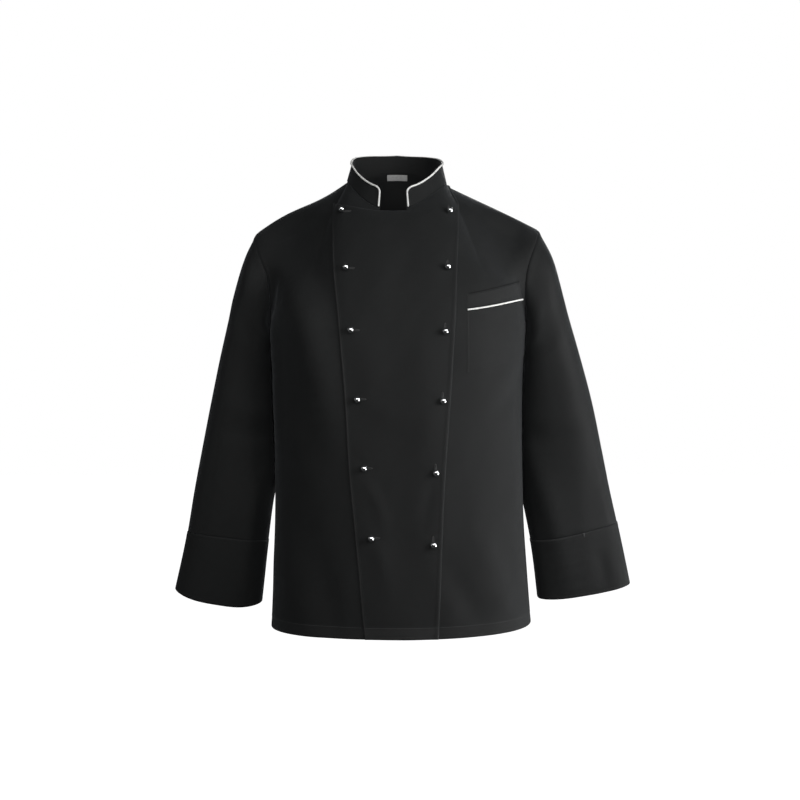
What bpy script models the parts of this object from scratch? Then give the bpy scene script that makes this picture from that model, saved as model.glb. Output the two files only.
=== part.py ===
"""Double-breasted chef jacket, filled out as when it is worn.

Each cut piece is one closed solid: a cloth wall between an outer and an inner
grid of points, worked out from body levels, an armhole, a neckline and arm
rings. Metres, +Z up, the front looks along -Y, and +X is the wearer's left.
The origin is the middle of the neck, level with the neck points of the
shoulder seams, which is where the wearer's shoulders hold the jacket.
"""

from typing import NamedTuple

import bpy
import numpy as np

# ---------------------------------------------------------------- cloth
WALL = 0.002                    # two layers of twill with their turnings
COLLAR_WALL = 0.003             # stand collar, interlined
SEAM_GAP = 0.0003               # parting between two pieces at a seam
LAYER_STEP = WALL + SEAM_GAP    # height of the overlap over the front below

# ---------------------------------------------------------------- body
ARMPIT_HEIGHT = -0.250
HEM_HEIGHT = -0.770
HEM_RISE_LEFT = 0.007           # the hem climbs a little to the wearer's left


class Level(NamedTuple):
    """Half sizes of one horizontal cut, and its superellipse power."""

    height: float
    right: float
    left: float
    front: float
    back: float
    squareness: float


LEVELS = (
    Level(-0.775, 0.2238, 0.2284, 0.1420, 0.1250, 2.30),
    Level(-0.710, 0.2210, 0.2233, 0.1405, 0.1225, 2.30),
    Level(-0.658, 0.2197, 0.2195, 0.1390, 0.1190, 2.30),
    Level(-0.606, 0.2177, 0.2158, 0.1380, 0.1155, 2.30),
    Level(-0.536, 0.2166, 0.2129, 0.1380, 0.1120, 2.35),
    Level(-0.460, 0.2175, 0.2115, 0.1395, 0.1130, 2.45),
    Level(-0.379, 0.2195, 0.2112, 0.1430, 0.1170, 2.60),
    Level(-0.300, 0.2215, 0.2140, 0.1455, 0.1230, 2.80),
    Level(-0.250, 0.2228, 0.2165, 0.1430, 0.1260, 2.90),
)

# ---------------------------------------------------------------- armholes
ARMHOLE_FRONT_DEPTH = 0.068
ARMHOLE_BACK_DEPTH = 0.076
ARMPIT_SETBACK = 0.005
ARMHOLE_OPENS = 0.7             # share of its height where the seam lies fully open
ARMHOLE_SPREAD = 2.2            # power by which the panels reach out to the armholes
SHOULDER_HEIGHT_RIGHT = -0.0868
SHOULDER_HEIGHT_LEFT = -0.0830


class Pull(NamedTuple):
    """How far a column swings back and up as it arrives at the top edge."""

    back: float
    up: float


NECK_PULL = Pull(1.4, 0.55)
SHOULDER_PULL = Pull(1.9, 0.20)
SHOULDER_TURN = {"front": (0.28, 1.0), "back": (0.0, 0.46)}  # u over which the swing changes
LEVEL_STEP = 0.01               # height over which a level's slope is read


class ArmholeRow(NamedTuple):
    """Distance of the armhole from the middle at a share of its height."""

    rise: float
    right: float
    left: float


ARMHOLE = (
    ArmholeRow(0.00, 0.2228, 0.2165),
    ArmholeRow(0.15, 0.2225, 0.2155),
    ArmholeRow(0.34, 0.2215, 0.2125),
    ArmholeRow(0.52, 0.2265, 0.2145),
    ArmholeRow(0.65, 0.2352, 0.2200),
    ArmholeRow(0.81, 0.2444, 0.2300),
    ArmholeRow(0.95, 0.2475, 0.2382),
    ArmholeRow(1.00, 0.2455, 0.2395),
)

# ---------------------------------------------------------------- neck
NECK_MIDDLE = -0.0050           # the neck sits a little to the wearer's right
NECK_HALF_WIDTH = 0.0865
NECK_FRONT_DEPTH = 0.075
NECK_BACK_DEPTH = 0.068
NECK_POINT_HEIGHT = -0.002
NECK_TILT = -0.0035             # the neck point is lower on the wearer's left
NECK_FRONT_HEIGHT = -0.060
NECK_BACK_HEIGHT = 0.029
OVERLAP_PULL = -0.006           # the closed overlap draws the front of the neck sideways
NECK_SHARE = 0.40               # part of a front's top edge that is neckline
CORNER_REST = 0.8               # how nearly the columns stand still at the neck points
OVERLAP_SHARE = 0.47            # the overlap reaches this far along the top edge
SHOULDER_BOW = 0.0010           # the shoulder seam arches over the shoulder
SHOULDER_SWING_RIGHT = 0.0037   # and dips towards the neck
SHOULDER_SWING_LEFT = 0.0004

COLLAR_HALF_WIDTH = 0.0772
COLLAR_TILT = -0.0012           # its edge is lower on the wearer's left
COLLAR_FRONT_DEPTH = 0.070
COLLAR_BACK_DEPTH = 0.062
COLLAR_CORNER = 0.013           # radius of the round front corners
COLLAR_ROWS = 4
CORNER_TURNS = (28.0, 50.0, 70.0, 90.0)  # degrees round a corner where columns are added
CORNER_SPACING = 0.0008         # least distance between two collar columns
PIPING_RADIUS = 0.0015
PIPING_INSET = 0.042            # its share of the collar's height below the top edge
PIPING_RISE = (0.06, 0.30, 0.55, 0.78)  # shares of the height up a front edge


class CollarRow(NamedTuple):
    """Height of the collar's top edge at a turn about the neck, in degrees."""

    turn: float
    height: float


COLLAR_EDGE = (
    CollarRow(0.0, -0.0250),
    CollarRow(30.0, -0.0130),
    CollarRow(50.0, 0.0040),
    CollarRow(70.0, 0.0235),
    CollarRow(90.0, 0.0350),
    CollarRow(110.0, 0.0460),
    CollarRow(135.0, 0.0538),
    CollarRow(180.0, 0.0598),
)

# ---------------------------------------------------------------- overlap
OVERLAP_MIDDLE = -0.0105
OVERLAP_TOP_HEIGHT = -0.0612    # its top edge between the two collar ends
OVERLAP_TOP_HALF = 0.0225       # half the opening between the collar ends
OVERLAP_TOP_RISE = 0.018        # how far the top edge climbs to its corner
OVERLAP_TOP_RUN = 0.0805
OVERLAP_TOP_POWER = 1.6
OVERLAP_CLOSING = 0.80          # rise from which its columns turn to the neckline
HIGHEST_TOP_RISE = 0.985        # its top edge stays this far below the neckline's
COLLAR_RIGHT_TURN = -15.5       # degrees from the front to the collar's two ends
COLLAR_LEFT_TURN = 15.0


class EdgeRow(NamedTuple):
    """Distance of the free edge and of the seam from the middle."""

    height: float
    free_edge: float
    seam: float


OVERLAP = (
    EdgeRow(-0.770, -0.0573, 0.0630),
    EdgeRow(-0.700, -0.0643, 0.0660),
    EdgeRow(-0.610, -0.0724, 0.0692),
    EdgeRow(-0.490, -0.0838, 0.0748),
    EdgeRow(-0.379, -0.0904, 0.0826),
    EdgeRow(-0.260, -0.1002, 0.0897),
    EdgeRow(-0.146, -0.1107, 0.0948),
    EdgeRow(-0.090, -0.1127, 0.0978),
    EdgeRow(-0.030, -0.1140, 0.1015),
)

# ---------------------------------------------------------------- arms


class Ring(NamedTuple):
    """One ring of a sleeve, tilted from its outer to its inner point."""

    outer: float
    outer_height: float
    inner: float
    inner_height: float
    front: float
    back: float
    inner_setback: float


SLEEVE_RIGHT = (
    Ring(0.2650, -0.1250, 0.2230, -0.2650, -0.0690, 0.0800, 0.012),
    Ring(0.2872, -0.2010, 0.2200, -0.3080, -0.0660, 0.0860, 0.028),
    Ring(0.3088, -0.2909, 0.2150, -0.3560, -0.0610, 0.0860, 0.040),
    Ring(0.3275, -0.3790, 0.2130, -0.4200, -0.0550, 0.0830, 0.042),
    Ring(0.3457, -0.4671, 0.2130, -0.4950, -0.0460, 0.0770, 0.040),
    Ring(0.3600, -0.5376, 0.2240, -0.5560, -0.0370, 0.0700, 0.025),
    Ring(0.3724, -0.6081, 0.2325, -0.6240, -0.0280, 0.0630, 0.018),
)
CUFF_RIGHT = Ring(0.3942, -0.7095, 0.2438, -0.7335, -0.0170, 0.0550, 0.018)

SLEEVE_LEFT = (
    Ring(0.2598, -0.1250, 0.2180, -0.2650, -0.0690, 0.0800, 0.012),
    Ring(0.2818, -0.2010, 0.2130, -0.3080, -0.0660, 0.0860, 0.028),
    Ring(0.3090, -0.2909, 0.2080, -0.3560, -0.0610, 0.0860, 0.040),
    Ring(0.3338, -0.3790, 0.2060, -0.4200, -0.0550, 0.0830, 0.042),
    Ring(0.3532, -0.4671, 0.2070, -0.4980, -0.0460, 0.0770, 0.040),
    Ring(0.3677, -0.5376, 0.2185, -0.5620, -0.0370, 0.0700, 0.025),
    Ring(0.3824, -0.6031, 0.2302, -0.6270, -0.0280, 0.0630, 0.018),
)
CUFF_LEFT = Ring(0.4030, -0.7000, 0.2425, -0.7260, -0.0170, 0.0550, 0.018)

ARM_SQUARENESS = 3.0
ARM_CLEARANCE = 0.0028          # between a sleeve and the side of the body
ARMPIT_FOLD = 0.004             # depth below the armpit where that clearance starts
CUFF_DIP_RIGHT = 0.0125         # the front of the cuff's edge hangs lower
CUFF_DIP_LEFT = 0.005
CUFF_PROUD = 0.0008             # the cuff's second layer stands out

# ---------------------------------------------------------------- pocket
POCKET_NEAR = 0.1100            # side nearer the middle
POCKET_FAR_SHARE = 0.25         # far side, as a share of the panel's last column
POCKET_TOP = -0.2046            # at the near side
POCKET_SLOPE = 0.188            # climb to the armhole for each metre sideways
POCKET_CURVE = 1.11             # and for each square metre, as the front curves back
POCKET_BAND = 0.0270            # at the near side
POCKET_SPREAD = 2.2             # growth of the band's share for each metre sideways
POCKET_DEPTH = 0.1300
POCKET_LIFT = 0.0008
POCKET_WALL = 0.0015
POCKET_PIPING_RADIUS = 0.0014

# ---------------------------------------------------------------- studs
STUD_RADIUS = 0.0055
STUD_FOOT_RADIUS = 0.0032
STUD_FOOT_HEIGHT = 0.0016
STUD_SIDES = 10
STUD_RINGS = 6


class StudRow(NamedTuple):
    """Places of one pair of studs, seen from the front."""

    right: float
    right_height: float
    left: float
    left_height: float


STUDS = (
    StudRow(-0.0961, -0.0614, 0.0821, -0.0633),
    StudRow(-0.0882, -0.1626, 0.0778, -0.1619),
    StudRow(-0.0796, -0.2655, 0.0734, -0.2672),
    StudRow(-0.0687, -0.3778, 0.0692, -0.3799),
    StudRow(-0.0586, -0.4906, 0.0580, -0.4970),
    StudRow(-0.0467, -0.6043, 0.0542, -0.6149),
)

# ---------------------------------------------------------------- label
LABEL_DROP = 0.0020             # below the neck seam
LABEL_HEIGHT = 0.0110
LABEL_WIDTH = 0.0360
LABEL_WALL = 0.0006
LABEL_LIFT = 0.0006             # off the curved inside of the back

# ---------------------------------------------------------------- grids
BODY_ROWS = 13                  # hem to armpit
ARM_ROWS = 10                   # armpit to shoulder
ROWS_ABOVE_OVERLAP = 3
SIDE_COLUMNS = 8
NECK_COLUMNS = 10
HALF_NECK_COLUMNS = 4
SLEEVE_ROWS = 15
CUFF_ROWS = 4
PATCH_ROWS = 12
POCKET_COLUMNS = 18
BAND_ROWS = 2
DENSE = 401                     # samples for reading a curve back by height
KNOTS = 21                      # rises at which the overlap's edges are found
WIDEST_OVERLAP = 0.9            # u within which they are looked for

SAME_PLACE = 5                  # decimals of a metre to which two points agree at a seam
SPLIT_DIRECTION = (1.0, 1.31, 1.73)  # quads of a rim are split from the end further along it
SHARP_ANGLE = 40.0              # degrees between two faces that shade as an edge
ROUND_SIDES = 6                 # of a cord

# ---------------------------------------------------------------- colours
BLACK_TWILL = ("black_twill", (0.012, 0.012, 0.013), 0.85, 0.0)
WHITE_PIPING = ("white_piping", (0.75, 0.75, 0.74), 0.70, 0.0)
GREY_LABEL = ("grey_label", (0.35, 0.35, 0.35), 0.75, 0.0)
POLISHED_STEEL = ("polished_steel", (0.80, 0.81, 0.82), 0.12, 1.0)


def clear_scene():
    """Remove every object, so that the file holds the jacket alone."""
    for scene_object in list(bpy.data.objects):
        bpy.data.objects.remove(scene_object, do_unlink=True)


def material(finish):
    """Return the Principled material of a finish, made once."""
    name, colour, roughness, metallic = finish
    found = bpy.data.materials.get(name)
    if found:
        return found
    made = bpy.data.materials.new(name)
    made.use_nodes = True
    shader = made.node_tree.nodes["Principled BSDF"]
    shader.inputs["Base Color"].default_value = (*colour, 1.0)
    shader.inputs["Roughness"].default_value = roughness
    shader.inputs["Metallic"].default_value = metallic
    made.diffuse_color = (*colour, 1.0)
    return made


def add_object(name, vertices, faces, finish):
    """Put one closed mesh into the scene under its node's name."""
    mesh = bpy.data.meshes.new(name)
    mesh.from_pydata([tuple(point) for point in vertices], [], faces)
    mesh.materials.append(material(finish))
    mesh.shade_smooth()
    mesh.set_sharp_from_angle(angle=np.radians(SHARP_ANGLE))
    piece = bpy.data.objects.new(name, mesh)
    bpy.context.scene.collection.objects.link(piece)
    return piece


# ---------------------------------------------------------------- curves


def smooth(at, places, values):
    """Cubic Hermite curve through a table, straight beyond its ends."""
    places = np.asarray(places, float)
    values = np.asarray(values, float)
    at = np.asarray(at, float)
    slopes = np.gradient(values, places, axis=0)
    index = np.clip(np.searchsorted(places, at) - 1, 0, len(places) - 2)
    width = places[index + 1] - places[index]
    part = np.clip((at - places[index]) / width, 0.0, 1.0)
    if values.ndim > 1:
        shape = part.shape + (1,) * (values.ndim - 1)
        part, width = part.reshape(shape), width.reshape(shape)
    start, end = values[index], values[index + 1]
    pull_start, pull_end = slopes[index] * width, slopes[index + 1] * width
    return ((2 * part**3 - 3 * part**2 + 1) * start + (part**3 - 2 * part**2 + part) * pull_start
            + (3 * part**2 - 2 * part**3) * end + (part**3 - part**2) * pull_end)


def hermite(part, start, pull_start, end, pull_end):
    """Cubic between two points with the pulls at its ends."""
    return ((2 * part**3 - 3 * part**2 + 1) * start + (part**3 - 2 * part**2 + part) * pull_start
            + (3 * part**2 - 2 * part**3) * end + (part**3 - part**2) * pull_end)


def ease(part):
    """Smooth step from 0 to 1."""
    part = np.clip(part, 0.0, 1.0)
    return part * part * (3.0 - 2.0 * part)


def unit(vectors):
    """Vectors of length one."""
    return vectors / np.maximum(np.linalg.norm(vectors, axis=-1, keepdims=True), 1e-12)


def stack(x, y, z):
    """Join three coordinate arrays into points."""
    return np.stack(np.broadcast_arrays(x, y, z), axis=-1)


# ---------------------------------------------------------------- body form
# u runs from -1 at the wearer's right side seam to +1 at the left one.


def body_level(u, height, facing):
    """Point of the body at a height: a superellipse from side to side."""
    sizes = smooth(height, [level.height for level in LEVELS],
                   [level[1:] for level in LEVELS])
    turn = u * np.pi / 2
    power = 2.0 / sizes[..., 4]
    across = np.sign(turn) * np.abs(np.sin(turn)) ** power
    out = np.abs(np.cos(turn)) ** power
    half = np.where(u < 0, sizes[..., 0], sizes[..., 1])
    depth = -sizes[..., 2] if facing == "front" else sizes[..., 3]
    return stack(half * across, depth * out, height)


def lower_body(u, rise, facing):
    """Point between the hem (rise 0) and the armpit (rise 1)."""
    across = np.clip(np.sin(u * np.pi / 2), 0.0, 1.0)
    hem = HEM_HEIGHT + HEM_RISE_LEFT * across**2
    return body_level(u, hem + (ARMPIT_HEIGHT - hem) * rise, facing)


def neck_point(turn):
    """Neckline point: turn 0 in front, +90 degrees at the left, 180 behind."""
    front = np.cos(turn) > 0
    depth = np.where(front, NECK_FRONT_DEPTH, NECK_BACK_DEPTH)
    end = np.where(front, NECK_FRONT_HEIGHT, NECK_BACK_HEIGHT)
    pull = np.where(front, OVERLAP_PULL * np.cos(turn), 0.0)
    side_height = NECK_POINT_HEIGHT + NECK_TILT * np.sin(turn)
    return stack(NECK_MIDDLE + NECK_HALF_WIDTH * np.sin(turn) + pull,
                 -depth * np.cos(turn),
                 side_height + (end - side_height) * np.cos(turn) ** 2)


def collar_rim(turn):
    """Top edge of the collar over the neckline point of the same turn."""
    front = np.cos(turn) > 0
    depth = np.where(front, COLLAR_FRONT_DEPTH, COLLAR_BACK_DEPTH)
    pull = np.where(front, OVERLAP_PULL * np.cos(turn), 0.0)
    from_front = np.degrees(np.arccos(np.clip(np.cos(turn), -1.0, 1.0)))
    height = smooth(from_front, [row.turn for row in COLLAR_EDGE], [row.height for row in COLLAR_EDGE])
    return stack(NECK_MIDDLE + COLLAR_HALF_WIDTH * np.sin(turn) + pull,
                 -depth * np.cos(turn), height + COLLAR_TILT * np.sin(turn))


def armhole_point(side, turn, facing):
    """Armhole: turn 0 at the armpit, 180 degrees at the shoulder."""
    rise = (1.0 - np.cos(turn)) / 2
    column = 1 if side < 0 else 2
    across = smooth(rise, [row.rise for row in ARMHOLE], [row[column] for row in ARMHOLE])
    top = SHOULDER_HEIGHT_RIGHT if side < 0 else SHOULDER_HEIGHT_LEFT
    depth = -ARMHOLE_FRONT_DEPTH if facing == "front" else ARMHOLE_BACK_DEPTH
    return stack(side * across,
                 ARMPIT_SETBACK * (1.0 - rise) + depth * np.sin(turn),
                 ARMPIT_HEIGHT + (top - ARMPIT_HEIGHT) * rise)


def top_edge(u, facing):
    """Upper edge of a body panel: shoulder seam, neckline, shoulder seam.

    The point slows down towards each neck point and stands still there, so
    that the corner does not run on into the panel as a crease.
    """
    inside = np.clip(u / NECK_SHARE, -1.0, 1.0)
    turn = neck_turn(inside)
    neck = neck_point(turn if facing == "front" else np.pi - turn)
    along = np.clip((np.abs(u) - NECK_SHARE) / (1.0 - NECK_SHARE), 0.0, 1.0)[..., None]
    along = along + CORNER_REST * along * (along - 1.0)
    right_end = armhole_point(-1.0, np.pi, facing)
    left_end = armhole_point(1.0, np.pi, facing)
    shoulder = np.where((u < 0)[..., None], right_end, left_end)
    swing = np.where((u < 0)[..., None], SHOULDER_SWING_RIGHT, SHOULDER_SWING_LEFT)
    bow = SHOULDER_BOW * np.sin(np.pi * along) - swing * np.sin(2 * np.pi * along)
    return neck + (shoulder - neck) * along + bow * np.array([0.0, 0.0, 1.0])


def neck_turn(inside):
    """Turn about the neck at a share (-1 to 1) of the neckline's half."""
    reach = np.abs(inside)
    return np.sign(inside) * (reach + CORNER_REST * 0.5 * reach * (1.0 - reach)) * np.pi / 2


def column(u, rise, facing):
    """A cubic from the armpit level (rise 0) to the top edge (rise 1)."""
    foot = body_level(u, np.full(u.shape, ARMPIT_HEIGHT), facing)
    below = body_level(u, np.full(u.shape, ARMPIT_HEIGHT - LEVEL_STEP), facing)
    top = top_edge(u, facing)
    gain = top - foot
    onset, full = SHOULDER_TURN[facing]
    shoulder = ease((np.abs(u) - onset) / (full - onset))
    pull_foot = (foot - below) / LEVEL_STEP * gain[..., 2:]
    pull_top = stack(np.zeros(u.shape),
                     gain[..., 1] * (NECK_PULL.back + (SHOULDER_PULL.back - NECK_PULL.back) * shoulder),
                     gain[..., 2] * (NECK_PULL.up + (SHOULDER_PULL.up - NECK_PULL.up) * shoulder))
    return hermite(rise[..., None], foot, pull_foot, top, pull_top)


def upper_body(u, rise, facing):
    """Point between the armpit level (rise 0) and the top edge (rise 1).

    The columns first close up, so that the outermost one runs at the
    armhole's depth, and are then drawn out to the armhole itself.
    """
    u, rise = np.broadcast_arrays(np.asarray(u, float), np.asarray(rise, float))
    side = np.where(u < 0, -1.0, 1.0)
    turn = np.pi * rise
    edge = np.where((u < 0)[..., None], armhole_point(-1.0, turn, facing),
                    armhole_point(1.0, turn, facing))
    level = LEVELS[-1].front if facing == "front" else LEVELS[-1].back
    depth = ARMHOLE_FRONT_DEPTH if facing == "front" else ARMHOLE_BACK_DEPTH
    closed = (depth * np.sin(turn) / level) ** (LEVELS[-1].squareness / 2)
    narrow = np.arccos(closed) / (np.pi / 2)
    share = (np.abs(u) ** ARMHOLE_SPREAD)[..., None]
    drawn = edge - column(side * narrow, rise, facing)
    return column(u * narrow, rise, facing) + drawn * share


# ---------------------------------------------------------------- body grids


def column_of(table_column, rise, region):
    """u at which the front crosses the free edge or the seam of the overlap."""
    u = np.linspace(-WIDEST_OVERLAP, WIDEST_OVERLAP, DENSE)
    surface = lower_body if region == "lower" else upper_body
    points = surface(u, np.full(DENSE, rise), "front")
    wanted = smooth(points[:, 2], [row.height for row in OVERLAP],
                    [row[table_column] for row in OVERLAP])
    return np.interp(0.0, points[:, 0] - wanted, u)


def overlap_top_height(across):
    """Height of the overlap's top edge at a distance from the middle."""
    run = np.clip((np.abs(across - OVERLAP_MIDDLE) - OVERLAP_TOP_HALF) / OVERLAP_TOP_RUN, 0.0, None)
    return OVERLAP_TOP_HEIGHT + OVERLAP_TOP_RISE * run**OVERLAP_TOP_POWER


def front_columns():
    """Shares of every front column: side part, overlap and side part."""
    side = np.linspace(0.0, 1.0, SIDE_COLUMNS + 1)
    right_end, left_end = (neck_share(np.radians(turn)) for turn in (COLLAR_RIGHT_TURN, COLLAR_LEFT_TURN))
    neck = np.concatenate([np.linspace(-1.0, right_end, HALF_NECK_COLUMNS + 1),
                           [(right_end + left_end) / 2],
                           np.linspace(left_end, 1.0, HALF_NECK_COLUMNS + 1)])
    u = np.concatenate([[-OVERLAP_SHARE], neck * NECK_SHARE, [OVERLAP_SHARE]])
    return side, (u + OVERLAP_SHARE) / (2 * OVERLAP_SHARE)


def neck_share(turn):
    """Share of the neckline's half at a turn: neck_turn read back."""
    shares = np.linspace(-1.0, 1.0, DENSE)
    return np.interp(turn, neck_turn(shares), shares)


def front_grid():
    """Points of both fronts' base layer, rows from hem to top edge.

    Returns the grid, the row of the overlap's top edge, and the columns of
    the free edge, the collar's two ends, the tuck and the overlap's seam.
    """
    side, over = front_columns()
    top_row = ARM_ROWS - ROWS_ABOVE_OVERLAP

    def spread(free_edge, seam):
        right = -1.0 + (free_edge + 1.0) * side
        middle = free_edge + (seam - free_edge) * over
        left = seam + (1.0 - seam) * side
        return np.concatenate([right[:-1], middle, left[1:]])

    rows = []
    for rise in np.linspace(0.0, 1.0, BODY_ROWS + 1)[:-1]:
        u = spread(column_of(1, rise, "lower"), column_of(2, rise, "lower"))
        rows.append(lower_body(u, np.full(u.shape, rise), "front"))

    rises = np.linspace(0.0, 1.0, DENSE)
    knots = np.linspace(0.0, 1.0, KNOTS)
    free_edge = np.array([column_of(1, min(rise, OVERLAP_CLOSING), "upper") for rise in knots])
    seam = np.array([column_of(2, min(rise, OVERLAP_CLOSING), "upper") for rise in knots])
    closing = ease((knots - OVERLAP_CLOSING) / (1.0 - OVERLAP_CLOSING))
    free_edge += (-OVERLAP_SHARE - free_edge) * closing
    seam += (OVERLAP_SHARE - seam) * closing
    u = np.array([spread(smooth(rise, knots, free_edge), smooth(rise, knots, seam)) for rise in rises])
    surface = upper_body(u, rises[:, None], "front")

    over_top = surface[:, :, 2] - overlap_top_height(surface[:, :, 0])
    first, last = SIDE_COLUMNS, SIDE_COLUMNS + len(over) - 1
    edge_rise = np.array([rises[np.argmax(over_top[:, column] > 0)] if over_top[-1, column] > 0 else 1.0
                          for column in range(u.shape[1])])
    edge_rise = np.clip(edge_rise, 0.0, HIGHEST_TOP_RISE)
    at_side = top_row / ARM_ROWS
    edge_rise[:first] = at_side + (edge_rise[first] - at_side) * ease(side[:-1])
    edge_rise[last + 1:] = edge_rise[last] + (at_side - edge_rise[last]) * ease(side[1:])
    for row in range(ARM_ROWS + 1):
        if row <= top_row:
            rise = edge_rise * row / top_row
        else:
            rise = edge_rise + (1.0 - edge_rise) * (row - top_row) / ROWS_ABOVE_OVERLAP
        place = np.array([np.interp(rise[column], rises, u[:, column]) for column in range(u.shape[1])])
        rows.append(upper_body(place, rise, "front"))

    marks = {
        "free_edge": first,
        "collar_right": first + 1 + HALF_NECK_COLUMNS,
        "collar_left": first + 3 + HALF_NECK_COLUMNS,
        "tuck": last - 1,
        "seam": last,
        "overlap_top": BODY_ROWS + top_row,
    }
    return np.array(rows), marks


def back_grid():
    """Points of the back, columns from the wearer's left to the right."""
    side = np.linspace(1.0, OVERLAP_SHARE, SIDE_COLUMNS + 1)
    neck = np.linspace(NECK_SHARE, -NECK_SHARE, NECK_COLUMNS + 1)
    u = np.concatenate([side, neck, -side[::-1]])
    rows = [lower_body(u, np.full(u.shape, rise), "back")
            for rise in np.linspace(0.0, 1.0, BODY_ROWS + 1)[:-1]]
    rows += [upper_body(u, np.full(u.shape, rise), "back")
             for rise in np.linspace(0.0, 1.0, ARM_ROWS + 1)]
    return np.array(rows)


def body_half_width(height, setback, side):
    """How far the body reaches to one side at a height and a setback."""
    sizes = smooth(height, [level.height for level in LEVELS], [level[1:] for level in LEVELS])
    half = sizes[..., 0] if side < 0 else sizes[..., 1]
    depth = np.where(setback < 0, sizes[..., 2], sizes[..., 3])
    share = np.clip(np.abs(setback) / depth, 0.0, 1.0) ** sizes[..., 4]
    return half * (1.0 - share) ** (1.0 / sizes[..., 4])


# ---------------------------------------------------------------- arm grids


def ring_points(ring, side, turns):
    """Superellipse ring; turn 0 at the inner point, 90 degrees in front."""
    power = 2.0 / ARM_SQUARENESS
    inward = np.sign(np.cos(turns)) * np.abs(np.cos(turns)) ** power
    forward = np.sign(np.sin(turns)) * np.abs(np.sin(turns)) ** power
    middle = (ring.front + ring.back) / 2
    half_depth = (ring.back - ring.front) / 2
    lean = (ring.inner_setback - middle) * ((1.0 + inward) / 2) ** 2
    return stack(side * ((ring.outer + ring.inner) / 2 + (ring.inner - ring.outer) / 2 * inward),
                 middle + lean - half_depth * forward,
                 (ring.outer_height + ring.inner_height) / 2
                 + (ring.inner_height - ring.outer_height) / 2 * inward)


def arm_grid(side, armhole, rings, cuff):
    """Rows of a whole arm from the armhole to the cuff's edge."""
    count = armhole.shape[0]
    turns = np.arange(count) * 2 * np.pi / count
    if side > 0:
        turns = -turns
    stations = [armhole] + [ring_points(ring, side, turns) for ring in rings]
    edge = ring_points(cuff, side, turns)
    dip = CUFF_DIP_RIGHT if side < 0 else CUFF_DIP_LEFT
    edge[:, 2] -= dip * np.clip(np.sin(turns), 0.0, 1.0) ** 2
    stations.append(edge)
    stations = np.array(stations)
    steps = np.linalg.norm(np.diff(stations, axis=0), axis=2).mean(axis=1)
    along = np.concatenate([[0.0], np.cumsum(steps)])
    sleeve = np.linspace(0.0, along[-2], SLEEVE_ROWS + 1)
    lower = np.linspace(along[-2], along[-1], CUFF_ROWS + 1)
    upper_part = smooth(sleeve, along, stations)
    lower_part = smooth(lower, along, stations)
    for part in (upper_part[1:], lower_part):
        limit = body_half_width(part[..., 2], part[..., 1], side) + ARM_CLEARANCE
        near = part[..., 2] < ARMPIT_HEIGHT - ARMPIT_FOLD
        reach = np.abs(part[..., 0])
        part[..., 0] = side * np.where(near, np.maximum(reach, limit), reach)
    return upper_part, lower_part


# ---------------------------------------------------------------- cloth walls


class Sheet:
    """A cloth wall: a reference grid, its normals and its two offsets."""

    def __init__(self, name, grid, above, below, seams="", cells=None, closed=False):
        self.name = name
        self.grid = grid
        self.above = above
        self.below = below
        self.seams = seams
        self.closed = closed
        self.cells = cells
        self.normals = self.grid_normals()

    def grid_normals(self):
        """Unit normals; columns cross rows so that they point outwards."""
        if self.closed:
            wrapped = np.concatenate([self.grid[:, -1:], self.grid, self.grid[:, :1]], axis=1)
            across = np.gradient(wrapped, axis=1)[:, 1:-1]
        else:
            across = np.gradient(self.grid, axis=1)
        up = np.gradient(self.grid, axis=0)
        return unit(np.cross(across, up))

    def edge_keys(self):
        """Border vertices as (row, column) pairs."""
        rows, columns = self.grid.shape[:2]
        keys = [(0, column) for column in range(columns)]
        keys += [(rows - 1, column) for column in range(columns)]
        if not self.closed:
            keys += [(row, 0) for row in range(1, rows - 1)]
            keys += [(row, columns - 1) for row in range(1, rows - 1)]
        return keys

    def parted(self, points):
        """Move the seam edges of a face of the wall back by half a gap."""
        moved = points.copy()
        across = np.gradient(points, axis=1)
        if self.closed:
            wrapped = np.concatenate([points[:, -1:], points, points[:, :1]], axis=1)
            across = np.gradient(wrapped, axis=1)[:, 1:-1]
        up = np.gradient(points, axis=0)
        half = SEAM_GAP / 2
        if "bottom" in self.seams:
            moved[0] += unit(np.cross(self.normals[0], across[0])) * half
        if "top" in self.seams:
            moved[-1] -= unit(np.cross(self.normals[-1], across[-1])) * half
        armpit = BODY_ROWS
        if "first" in self.seams:
            aside = unit(np.cross(up[:, 0], self.normals[:, 0])) * half
            moved[:, 0] += aside
            moved[armpit, 0] += aside[armpit - 1]
        if "last" in self.seams:
            aside = unit(np.cross(up[:, -1], self.normals[:, -1])) * half
            moved[:, -1] -= aside
            moved[armpit, -1] -= aside[armpit - 1]
        return moved

    def faces_of_wall(self):
        """Return the outer and inner points of the wall."""
        outer = self.parted(self.grid + self.normals * self.above)
        inner = self.parted(self.grid - self.normals * self.below)
        return outer, inner

    def build(self, finish):
        """Make the wall as one closed mesh of triangles."""
        outer, inner = self.faces_of_wall()
        vertices, faces = wall_mesh(outer, inner, self.cells, self.closed, self.grid)
        return add_object(self.name, vertices, faces, finish)


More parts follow.
